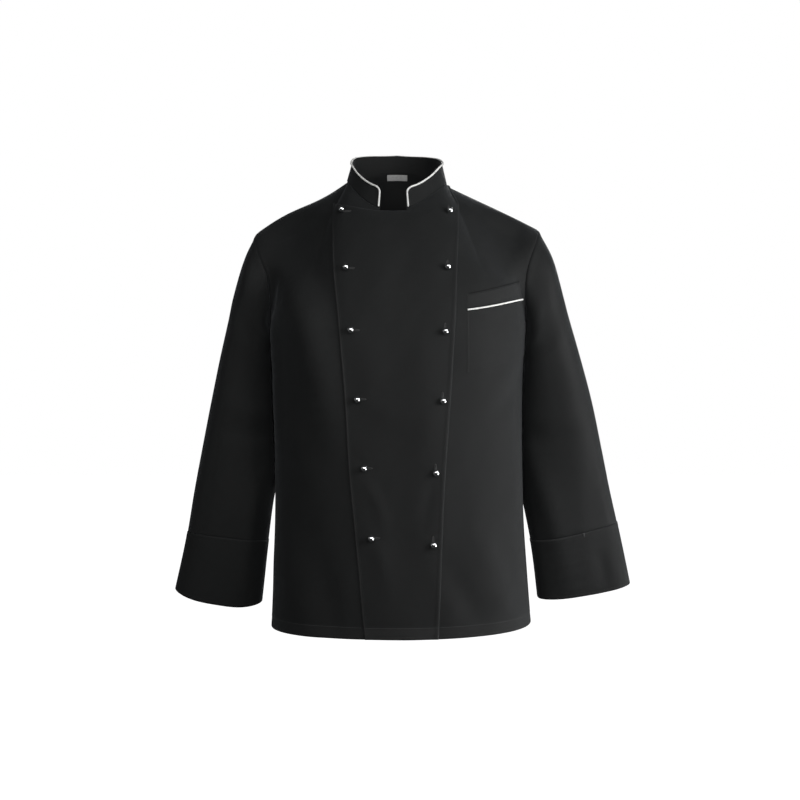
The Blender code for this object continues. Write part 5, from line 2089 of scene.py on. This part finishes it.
@dataclass
class Collar:
    """Stand collar on the neckline, with round front corners and a cord along its edge."""

    jacket: Jacket
    half_width: float = 0.0772
    tilt: float = -0.0012
    front_depth: float = 0.070
    back_depth: float = 0.062
    corner: float = 0.013
    rows: int = 16
    wall: float = 0.003
    corner_turns: tuple[float, ...] = (12.0, 22.0, 31.0, 40.0, 49.0, 58.0, 67.0, 76.0, 84.0, 90.0)
    cord_radius: float = 0.0015
    cord_inset: float = 0.042
    cord_rise: float = 0.06
    cord_sides: int = 14
    cord_step: float = 0.0015
    cord_end: float = 0.6                # share of the radius at its ends
    cord_margin: float = 1.3             # distance from the front edges, in radii
    cord_gap: float = 0.2                # columns left free after its first upright part
    cord_knots: int = 16
    edge_shares: tuple[float, ...] = (0.03, 0.93, 0.97)

    def rim(self, turn: Array) -> Array:
        """Top edge over the neckline point of the same turn, its height from a table.

        Args:
            turn: Turn about the neck in radians.

        Returns:
            Points.
        """
        form = self.jacket.grids.form
        front = np.cos(turn) > 0
        depth = np.where(front, self.front_depth, self.back_depth)
        pull = np.where(front, form.overlap_pull * np.cos(turn), 0.0)
        from_front = np.degrees(np.arccos(np.clip(np.cos(turn), -1.0, 1.0)))
        height = smooth(from_front, [row.turn for row in COLLAR_EDGE], [row.height for row in COLLAR_EDGE])
        return stack(form.neck_middle + self.half_width * np.sin(turn) + pull, -depth * np.cos(turn),
                     height + self.tilt * np.sin(turn))

    def cut(self) -> Cloth:
        """The collar's cloth: straight up from the neckline to its rim, lowered in the round corners.

        Returns:
            The cloth. Its own added columns are kept in added.
        """
        jacket, grids = self.jacket, self.jacket.grids
        form, marks, steps = grids.form, grids.marks, jacket.column_steps
        left = (steps >= marks["collar_left"]) & (steps <= marks["tuck"])
        right = (steps >= marks["free_edge"] + 1) & (steps <= marks["collar_right"])
        back_steps = grids.back_steps()
        first = grids.side_columns + 1
        behind = (back_steps >= first) & (back_steps <= marks["end"] - first)
        base = np.concatenate([jacket.front.grid[-1, left][:-1], jacket.back.grid[-1, behind],
                               jacket.front.grid[-1, right][1:]])
        (right_end, left_end), span = grids.collar_ends, grids.half_neck_columns
        left_share = left_end + (1.0 - left_end) * (steps[left] - marks["collar_left"]) / span
        right_share = -1.0 + (right_end + 1.0) * (steps[right] - marks["free_edge"] - 1) / span
        back_share = 1.0 - 2.0 * (back_steps[behind] - first) / (marks["end"] - 2 * first)
        turns = np.concatenate([form.neck_turn(left_share)[:-1], np.pi - form.neck_turn(back_share),
                                form.neck_turn(right_share)[1:] + 2 * np.pi])
        run = lengths(base)
        extra = self.corner * (1.0 - np.cos(np.radians(self.corner_turns)))
        places = np.unique(np.round(np.concatenate([run, extra, run[-1] - extra]), 7))
        self.added = ~np.isin(places, np.round(run, 7))
        fine = along(base, run, places)
        turn = np.interp(places, run, turns)
        distance = np.minimum(places, places[-1] - places)
        corner = np.clip(self.corner - distance, 0.0, None)
        drop = self.corner - np.sqrt(self.corner**2 - corner**2)
        rim = self.rim(turn)
        height = np.linalg.norm(rim - fine, axis=1)
        up = np.unique(np.concatenate([np.linspace(0.0, 1.0, self.rows), self.edge_shares]))
        shares = up[:, None] * (1.0 - drop / height)
        grid = fine + (rim - fine) * shares[..., None]
        cloth = Cloth("stand_collar", grid, self.wall / 3, self.wall * 2 / 3, roll=SOFT_ROLL)
        cloth.parting = (Side.BOTTOM,)
        self.run = places
        return cloth

    def settle(self, cloth: Cloth) -> None:
        """Lay the normals of the added base columns straight between the shared ones.

        Args:
            cloth: The collar's cloth.
        """
        known = ~self.added
        cloth.normals[0] = unit(along(cloth.normals[0][known], self.run[known], self.run))

    def cord(self, cloth: Cloth) -> Piece:
        """The white cord just inside the outer edge: up one front, along the top and down the other.

        Its path is read at even lengths and smoothed by weights of 1, 2, 3, 2 and 1.

        Args:
            cloth: The collar's cloth.

        Returns:
            The piece.
        """
        outer = cloth.grid + cloth.normals * cloth.above
        rows, columns = outer.shape[:2]
        inset, knots = self.cord_radius * self.cord_margin, self.cord_knots
        first, last = np.interp([inset, self.run[-1] - inset], self.run, np.arange(columns))
        up = np.linspace(self.cord_rise, 1.0 - self.cord_inset, knots)
        top = np.arange(np.ceil(first + self.cord_gap), last)
        row = np.concatenate([up, np.full(len(top), 1.0 - self.cord_inset), up[::-1]]) * (rows - 1)
        column = np.concatenate([np.full(knots, first), top, np.full(knots, last)])
        normals = unit(sample(cloth.normals, row, column))
        path = sample(outer, row, column) + normals * (self.cord_radius + self.jacket.parting)
        run = lengths(path)
        path = along(path, run, np.linspace(0.0, run[-1], int(run[-1] / self.cord_step)))
        padded = np.concatenate([path[[0, 0]], path, path[[-1, -1]]])
        kernel = np.array([1.0, 2.0, 3.0, 2.0, 1.0]) / 9.0
        path = np.stack([np.convolve(padded[:, axis], kernel, "valid") for axis in range(3)], axis=1)
        radius = np.full(len(path), self.cord_radius)
        radius[[0, -1]] *= self.cord_end
        vertices, faces, uv = tube(path, radius, self.cord_sides)
        piece = mesh_piece("collar_cord", vertices, faces, uv, creased=False)
        register(piece, PIPING, "white_piping", "collar_piping")
        return piece


@dataclass
class Pocket:
    """Breast pocket on the left front: patch, band and the cord between them."""

    jacket: Jacket
    near: float = 0.1100
    far_column: float = 27.25
    top: float = -0.2046
    slope: float = 0.188
    curve: float = 1.11
    band: float = 0.0270
    spread: float = 2.2
    depth: float = 0.1300
    lift: float = 0.00005
    thickness: float = 0.0006
    cord_radius: float = 0.0014
    cord_sides: int = 12
    columns: int = 40
    patch_rows: int = 44
    band_rows: int = 56
    edge_shares: tuple[float, ...] = (0.012, 0.03, 0.97, 0.988)
    side_stitches: tuple[float, float] = (0.0016, 0.0070)

    def level(self, panel: Array) -> Array:
        """Negative drop d below the top line at each point, stretched where the band widens.

        The top line climbs as slope * s + curve * s^2 of the way s outwards, and
        the fall from it is d + spread * s * d * (1 - d / depth) / (1 - band / depth),
        solved for d.

        Args:
            panel: The left front's grid.

        Returns:
            One number for each point.
        """
        side = panel[..., 0] - self.near
        below = self.top + self.slope * side + self.curve * side**2 - panel[..., 2]
        spread = self.spread * side / (1.0 - self.band / self.depth)
        root = np.sqrt(np.maximum((1.0 + spread) ** 2 - 4.0 * spread * below / self.depth, 1e-4))
        return -2.0 * below / (1.0 + spread + root)

    def grid(self, panel: Array, upper: float, lower: float, rows: int) -> Array:
        """Panel points between two drops below the pocket's top line.

        Each line is crossed by every column of the panel, and is cut evenly
        between the near and the far side.

        Args:
            panel: The left front's grid.
            upper: Drop of the upper edge.
            lower: Drop of the lower edge.
            rows: Number of rows, from below to above.

        Returns:
            Points, rows by columns.
        """
        level = self.level(panel)
        wanted = -np.linspace(lower, upper, rows)
        after = np.clip(np.argmax(level[None] > wanted[:, None, None], axis=1), 1, None)
        columns = np.broadcast_to(np.arange(panel.shape[1]), after.shape)
        low, high = level[after - 1, columns], level[after, columns]
        row = after - 1 + np.clip((wanted[:, None] - low) / (high - low), 0.0, 1.0)
        lines = sample(panel, row, columns.astype(float))
        steps = self.jacket.column_steps[self.jacket.column(self.jacket.grids.marks["tuck"]):]
        share = np.unique(np.concatenate([np.linspace(0.0, 1.0, self.columns), self.edge_shares]))
        points = []
        for line in lines:
            run = lengths(line)
            near, far = np.interp(self.near, line[:, 0], run), np.interp(self.far_column, steps, run)
            points.append(along(line, run, near + (far - near) * share))
        return np.array(points)

    def build(self, panel: Array) -> None:
        """Make patch, band, cord and stitching, and register them.

        Args:
            panel: The left front's grid.
        """
        room, above = self.cord_radius + self.jacket.parting, self.lift + self.thickness
        patch = Cloth("pocket_patch", self.grid(panel, self.band + room, self.depth, self.patch_rows),
                      above, -self.lift)
        band = Cloth("pocket_top_band", self.grid(panel, 0.0, self.band - room, self.band_rows),
                     above, -self.lift)
        # painted light: the patch's near edge is painted paler to lift the shade of its rolled edge; the
        # band's ends are painted as bright highlight lines and its whole face a little lighter
        patch.wear.append(Wear(Side.FIRST, 0.0022, 0.0010, 0.75))
        band.wear += [Wear(Side.FIRST, 0.0014, 0.0010, 1.0), Wear(Side.LAST, 0.0014, 0.0010, 0.8),
                      Wear(Side.TOP, 0.0225, 0.0030, 0.3)]
        band.beads += [Bead(Side.TOP, 0.0021, 0.0008, -0.0005), Bead(Side.TOP, 0.0040, 0.0012, 0.0003)]
        patch.build(TWILL, "black_twill", "pocket")
        band.build(TWILL, "black_twill", "pocket_band")
        line = Cloth("line", self.grid(panel, self.band - room, self.band + room, 3), 0.0, 0.0)
        path = line.grid[1] + line.normals[1] * (self.lift + self.cord_radius)
        vertices, faces, uv = tube(path, self.cord_radius, self.cord_sides)
        register(mesh_piece("pocket_cord", vertices, faces, uv, creased=False), PIPING, "white_piping",
                 "pocket_piping")
        self.stitch(Surface(patch), Surface(band))

    def stitch(self, patch: Surface, band: Surface) -> None:
        """Two rows down each side, one along the foot, rows on the band, and a near-black row along the
        band's top edge that paints the shadow under it.

        Args:
            patch: The patch's outer face.
            band: The band's outer face.
        """
        rows = Stitches("pocket_stitching")
        for face in (patch, band):
            for side in (Side.FIRST, Side.LAST):
                rows.beside(face, side, *self.side_stitches)
        rows.beside(patch, Side.BOTTOM, 0.0016)
        rows.beside(band, Side.BOTTOM, 0.0014)
        rows.build()
        # painted shadow: a row of flat near-black stitches along the band's top edge, where a shadow line
        # falls
        edge = Stitches("pocket_painted_shadow_line", PAINTED_SHADOW_THREAD, width=0.0018, height=0.0003)
        edge.beside(band, Side.TOP, 0.0007, length=0.0034)
        edge.build()


class StudRow(NamedTuple):
    """Places of one pair of studs, seen from the front."""

    right: float
    right_height: float
    left: float
    left_height: float


STUDS = (
    StudRow(-0.0961, -0.0614, 0.0821, -0.0633),
    StudRow(-0.0882, -0.1626, 0.0778, -0.1619),
    StudRow(-0.0796, -0.2655, 0.0734, -0.2672),
    StudRow(-0.0687, -0.3778, 0.0692, -0.3799),
    StudRow(-0.0586, -0.4906, 0.0580, -0.4970),
    StudRow(-0.0467, -0.6043, 0.0542, -0.6149),
)


@dataclass
class Fastening:
    """Ball studs in worked buttonholes, two columns of six on the overlap."""

    surface: Surface
    radius: float = 0.0055
    foot_radius: float = 0.0018
    foot_height: float = 0.0008
    sides: int = 28
    arcs: int = 18
    hole_length: float = 0.0160
    hole_width: float = 0.0034
    hole_shift: float = 0.0062
    hole_height: float = 0.0007
    hole_rim: float = 0.0011             # width of the satin at the hole's ends
    slit: float = 0.00035                # half width of the slit
    hole_ends: float = 0.55
    hole_sides: float = 0.75
    hole_steps: int = 6
    hole_roundness: float = 0.6
    hole_lift: float = 0.00002
    hole_sunk: float = 0.0003
    rib_depth: float = 0.22
    ribs: int = 66
    seat: float = 0.0004
    waist: tuple = ((0.0, 0.0003, 0.0007), (1.0, 1.0, 0.9))     # heights, and shares of the foot's radius

    def ball(self, name: str, place: Array, normal: Array) -> Piece:
        """A ball on a waisted foot, as a profile turned round the cloth's normal.

        Args:
            name: The piece's name.
            place: Where its foot stands.
            normal: The cloth's normal there.

        Returns:
            The object.
        """
        meet = np.sqrt(self.radius**2 - self.foot_radius**2)
        arc = np.linspace(-np.arcsin(meet / self.radius), np.pi / 2, self.arcs)
        ball_heights = self.foot_height + meet + self.radius * np.sin(arc)
        heights = np.concatenate([self.waist[0], ball_heights])
        radii = np.concatenate([self.foot_radius * np.array(self.waist[1]), self.radius * np.cos(arc)])
        path = place + heights[:, None] * normal
        vertices, faces, _ = tube(path[:-1], radii[:-1], self.sides, (path[0], path[-1]))
        return mesh_piece(name, vertices, faces, creased=False)

    def buttonhole(self, across: float, height: float, upright: bool) -> tuple[Array, Array]:
        """A ring of satin stitches round a slit, on the cloth.

        The ring follows a long oval; its height is a half circle across the
        ring times a ripple of ribs round it.

        Args:
            across: x of its middle.
            height: z of its middle.
            upright: Whether it runs up and down.

        Returns:
            Vertices and faces.
        """
        around = np.linspace(0.0, 2 * np.pi, self.ribs * 3, endpoint=False)[:, None]
        band = np.linspace(0.0, 1.0, self.hole_steps)
        half_length = self.hole_length / 2 - self.hole_rim * (1.0 - band)
        half_width = self.slit + (self.hole_width / 2 - self.slit) * band
        lengthwise = bulged(np.cos(around), self.hole_ends) * half_length
        aside = bulged(np.sin(around), self.hole_sides) * half_width
        ribbed = 1.0 - self.rib_depth * (1.0 + np.cos(self.ribs * around))
        lift = self.hole_height * np.sin(np.pi * np.clip(band, 0.02, 0.98)) ** self.hole_roundness * ribbed
        x, z = (aside, lengthwise) if upright else (lengthwise, aside)
        points, normals = self.surface.read(*self.surface.locate(across + x, height + z))
        top = points + normals * (lift.reshape(-1, 1) + self.hole_lift)
        number = np.arange(lift.size).reshape(lift.shape)
        after, total = np.roll(number, -1, axis=0), lift.size
        face = quads(number[:, :-1], number[:, 1:], after[:, 1:], after[:, :-1])
        faces = np.concatenate([
            face, total + face[:, ::-1],
            quads(number[:, -1], total + number[:, -1], total + after[:, -1], after[:, -1]),
            quads(number[:, 0], after[:, 0], total + after[:, 0], total + number[:, 0])])
        vertices = np.concatenate([top, points - normals * self.hole_sunk])
        return vertices, faces if upright else faces[:, ::-1]

    def build(self) -> None:
        """Make studs and buttonholes: lying ones in the right column, upright ones in the left."""
        vertices, faces, start = [], [], 0
        for number, stud in enumerate(STUDS, start=1):
            for hand, across, height in ((Hand.RIGHT, *stud[:2]), (Hand.LEFT, *stud[2:])):
                found = self.surface.locate(np.array([across]), np.array([height]))
                place, normal = (part[0] for part in self.surface.read(*found))
                word, upright = f"{hand.word}_{number}", hand is Hand.LEFT
                ball = self.ball(f"ball_stud_{word}", place + normal * self.seat, normal)
                register(ball, STEEL, "polished_steel", f"stud_{word}")
                shift = self.hole_shift * np.array([not upright, upright])
                points, corners = self.buttonhole(across + shift[0], height + shift[1], upright)
                vertices.append(points)
                faces.append(corners + start)
                start += len(points)
        piece = mesh_piece("buttonholes", np.concatenate(vertices), [np.concatenate(faces)])
        register(piece, HOLE_THREAD, "black_twill")


@dataclass
class NeckLabel:
    """Blank woven label on the inside of the back, under the neck seam."""

    back: Cloth
    drop: float = 0.0020
    height: float = 0.0110
    width: float = 0.0360
    thickness: float = 0.0006
    lift: float = 0.0006
    columns: int = 19
    rows: int = 7
    reach: tuple[int, int] = (5, 3)      # rows and columns over which its directions are taken

    def build(self, middle: int) -> Piece:
        """Lay the label on the inner face of the back.

        Args:
            middle: Fine column of the back's middle.

        Returns:
            The piece.
        """
        inner = self.back.grid - self.back.normals * self.back.below
        (down, aside), top = self.reach, inner[-1, middle]
        up = unit(top - inner[-1 - down, middle])
        across = unit(inner[-1, middle + aside] - inner[-1, middle - aside])
        normal = -self.back.normals[-2, middle]
        u, v = np.meshgrid(np.linspace(-0.5, 0.5, self.columns), np.linspace(0.0, 1.0, self.rows))
        curve = 4.0 * (u**2) * self.sag(inner[-1], middle)
        grid = (top - up * self.drop + across * (u * self.width)[..., None]
                - up * ((1.0 - v) * self.height)[..., None] + normal * (self.lift + curve)[..., None])
        label = Cloth("blank_label", grid[:, ::-1], self.thickness, 0.0, roll=SOFT_ROLL)
        return label.build(LABEL, "grey_label", "neck_label")

    def sag(self, line: Array, middle: int) -> float:
        """How far the neckline curves forward, from its middle to the label's ends.

        Args:
            line: Points of the neckline.
            middle: Number of its middle point.

        Returns:
            The distance.
        """
        run = lengths(line)
        place = along(line, run, run[middle] + np.array([-0.5, 0.5]) * self.width)
        return float(line[middle, 1] - place[:, 1].mean())


# ---- studio


class SoftBox(NamedTuple):
    """A rectangular light: turn towards +X and rise in degrees, distance from the aim's level."""

    name: str
    turn: float
    rise: float
    distance: float
    level: float
    width: float
    height: float
    power: float


SOFT_BOXES = (
    SoftBox("key_box", 50.0, 5.0, 1.1, -0.20, 0.5, 0.6, 9.6),
    SoftBox("low_box", 86.0, -27.0, 2.0, -0.35, 0.9, 0.9, 33.0),
    SoftBox("front_box", 0.0, 20.0, 2.4, -0.35, 2.4, 1.0, 36.0),
    SoftBox("back_box", 172.0, 24.0, 2.4, -0.35, 2.0, 1.0, 26.0),
    SoftBox("side_strip", -72.0, 0.0, 1.6, -0.35, 0.12, 1.2, 0.8),
)


@dataclass
class Studio:
    """Camera, pale floor, white surround and soft boxes."""

    camera_place: tuple[float, float, float] = (0.0, -2.1, -0.379)
    lens: float = 54.135
    sensor: float = 36.0
    floor_height: float = -1.45
    floor_size: float = 30.0
    glow: float = 0.03

    def camera(self) -> None:
        """Level camera in front, at the height of the jacket's middle."""
        data = bpy.data.cameras.new("camera")
        data.lens, data.sensor_width, data.sensor_fit = self.lens, self.sensor, "HORIZONTAL"
        data.clip_start, data.clip_end = 0.05, 100.0
        camera = placed("camera", data)
        camera.location = self.camera_place
        camera.rotation_euler = (np.pi / 2, 0.0, 0.0)
        bpy.context.scene.camera = camera

    def floor(self) -> None:
        """A large flat floor well under the hem."""
        half = self.floor_size / 2
        across, deep = np.array([(-half, -half), (half, -half), (half, half), (-half, half)]).T
        floor = mesh_piece("studio_floor", stack(across, deep, self.floor_height), [np.arange(4)[None]])
        floor.data.materials.append(FLOOR.material())
        floor.visible_diffuse = False
        floor.visible_glossy = False

    def soft_box(self, box: SoftBox) -> None:
        """A rectangular light on a sphere round the jacket's middle line, looking at it.

        Args:
            box: The light.
        """
        turn, rise = np.radians(box.turn), np.radians(box.rise)
        aim = Vector((0.0, 0.0, box.level))
        away = Vector((np.sin(turn) * np.cos(rise), -np.cos(turn) * np.cos(rise), np.sin(rise)))
        data = bpy.data.lights.new(box.name, "AREA")
        data.shape, data.size, data.size_y, data.energy = "RECTANGLE", box.width, box.height, box.power
        light = placed(box.name, data)
        light.location = aim + away * box.distance
        light.rotation_euler = (-away).to_track_quat("-Z", "Y").to_euler()

    def surround(self) -> None:
        """White to the camera and a dim grey room for light."""
        world = bpy.data.worlds.new("studio")
        world.use_nodes = True
        bpy.context.scene.world = world
        graph = Graph(world.node_tree)
        seen = graph.number("ShaderNodeLightPath", {}, {}, "Is Camera Ray")
        strength = self.glow + seen * (1.0 - self.glow)
        shade = graph.node("ShaderNodeBackground", {},
                           {"Color": (1.0, 1.0, 1.0, 1.0), "Strength": strength})
        graph.node("ShaderNodeOutputWorld", {}, {"Surface": shade.outputs[0]})

    def build(self) -> None:
        """Set up everything that isn't part of the jacket."""
        self.camera()
        self.floor()
        self.surround()
        for box in SOFT_BOXES:
            self.soft_box(box)
        bpy.context.scene.view_settings.view_transform = "Standard"


# ---- assembly

SEAM_ROWS = (0.0014, 0.0060)     # rows of stitches beside a felled seam
EDGE_ROW = 0.0060                # the row beside a turned edge or a plain seam


@dataclass(frozen=True)
class Tack:
    """Bar tack of the left cuff: satin rows across, under a stitched slit."""

    place: float = 0.318             # from the middle
    rows: Array = field(default_factory=lambda: np.linspace(0.2, 3.2, 9))
    half_width: float = 0.17         # in columns
    slit_rows: int = 9
    slit_end: float = 0.5
    samples: int = 40


def body_stitching(jacket: Jacket, faces: dict[str, Surface]) -> None:
    """Rows along the free edge, the overlap's seam, the side and shoulder seams and the hem.

    Args:
        jacket: The jacket, for its marks.
        faces: Outer face of each panel.
    """
    overlap, right = faces["front_overlap"], faces["right_front"]
    left, back = faces["left_front"], faces["back"]
    marks = {word: jacket.column(coarse) for word, coarse in jacket.grids.marks.items()}
    over_row = jacket.row(jacket.grids.overlap_row)
    front = Stitches("front_stitching")
    front.beside(overlap, Side.FIRST, EDGE_ROW, stop=over_row)
    front.beside(overlap, Side.LAST, *SEAM_ROWS)
    front.beside(overlap, Side.TOP, 0.0055, stop=marks["collar_left"] - marks["free_edge"], line=over_row)
    for face in (left, back):
        front.beside(face, Side.TOP, *SEAM_ROWS)
    front.build()

    hem = Stitches("hem_stitching", PALE_THREAD, width=0.0008, height=0.0005)
    for face, start, stop in ((overlap, 0, None), (left, marks["seam"] - marks["tuck"], None),
                              (right, 0, marks["free_edge"]), (back, 0, None)):
        hem.beside(face, Side.BOTTOM, jacket.hem, start=start, stop=stop)
    hem.build()

    seams = Stitches("seam_stitching")
    armpit = jacket.row(jacket.grids.lower_rows)
    for face, side in ((right, Side.FIRST), (left, Side.LAST), (back, Side.FIRST), (back, Side.LAST)):
        seams.beside(face, side, EDGE_ROW, start=armpit)
    seams.build()


def arm_stitching(hand: Hand, sleeve: Cloth, cuff: Cloth) -> None:
    """Rows at the cuff's top and edge, and on the left arm a bar tack under a stitched slit.

    Args:
        hand: The wearer's side.
        sleeve: Its sleeve.
        cuff: Its cuff.
    """
    rows, face = Stitches(f"{hand.word}_cuff_stitching"), Surface(cuff)
    for side, inset in ((Side.BOTTOM, SEAM_ROWS[0]), (Side.BOTTOM, 0.0065), (Side.TOP, EDGE_ROW)):
        row, column = face.inset(side, inset)
        rows.add(face, np.append(row, row[0]), np.append(column, 0.0))
    if hand is Hand.LEFT:
        bar, tack = Tack(), Stitches("left_cuff_tack", PALE_THREAD, width=0.0013, height=0.0010)
        facing = cuff.normals[0, :, 1] < 0
        middle = int(np.where(facing, np.abs(cuff.grid[0, :, 0] - bar.place), np.inf).argmin())
        top = sleeve.grid.shape[0] - 1
        rows.add(Surface(sleeve), np.linspace(top - bar.slit_rows, top - bar.slit_end, bar.samples), middle)
        columns = middle + bar.half_width * np.linspace(-1.0, 1.0, bar.samples)
        for row in bar.rows:
            tack.add(face, row, columns, pitch=0.0013)
        tack.build()
    rows.build()


def join_seams(jacket: Jacket, cloths: list[Cloth]) -> None:
    """Share the normals of all panels at their seams, and open the armholes' seams upwards.

    Args:
        jacket: The jacket.
        cloths: The panels that meet at seams.
    """
    rings = [jacket.armhole_ring(hand)[0] for hand in Hand]
    away = np.concatenate([unit((ring - ring.mean(axis=0)) * np.array([0.0, 1.0, 1.0])) for ring in rings])
    above = [ring[:, 2] - jacket.grids.form.armpit for ring in rings]
    opened = np.concatenate([ease(height / (jacket.armhole_opens * height.max())) for height in above])
    share_normals(cloths, np.concatenate(rings), away, opened)


def main() -> None:
    """Build the jacket and its studio."""
    logging.basicConfig(level=logging.INFO, format="%(name)s: %(message)s")
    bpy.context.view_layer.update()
    jacket = Jacket()
    panels = jacket.cut()
    collar = Collar(jacket)
    stand = collar.cut()
    arms = {hand: Arm(hand, jacket).cut() for hand in Hand}
    joined = [panels["right_front"], panels["left_front"], panels["back"], stand]
    join_seams(jacket, joined + [cloth for pair in arms.values() for cloth in pair])
    collar.settle(stand)

    for word, cloth in panels.items():
        cloth.build(TWILL, "black_twill", word)
    for hand, (sleeve, cuff) in arms.items():
        sleeve.build(TWILL, "black_twill", f"{hand.word}_sleeve")
        cuff.build(TWILL, "black_twill", f"{hand.word}_cuff")
        arm_stitching(hand, sleeve, cuff)
    stand.build(TWILL, "black_twill", "collar")
    collar.cord(stand)

    faces = {word: Surface(cloth) for word, cloth in panels.items()}
    Pocket(jacket).build(panels["left_front"].grid)
    Fastening(faces["front_overlap"]).build()
    NeckLabel(panels["back"]).build(panels["back"].grid.shape[1] // 2)
    body_stitching(jacket, faces)

    Studio().build()


if __name__ == "__main__":
    main()
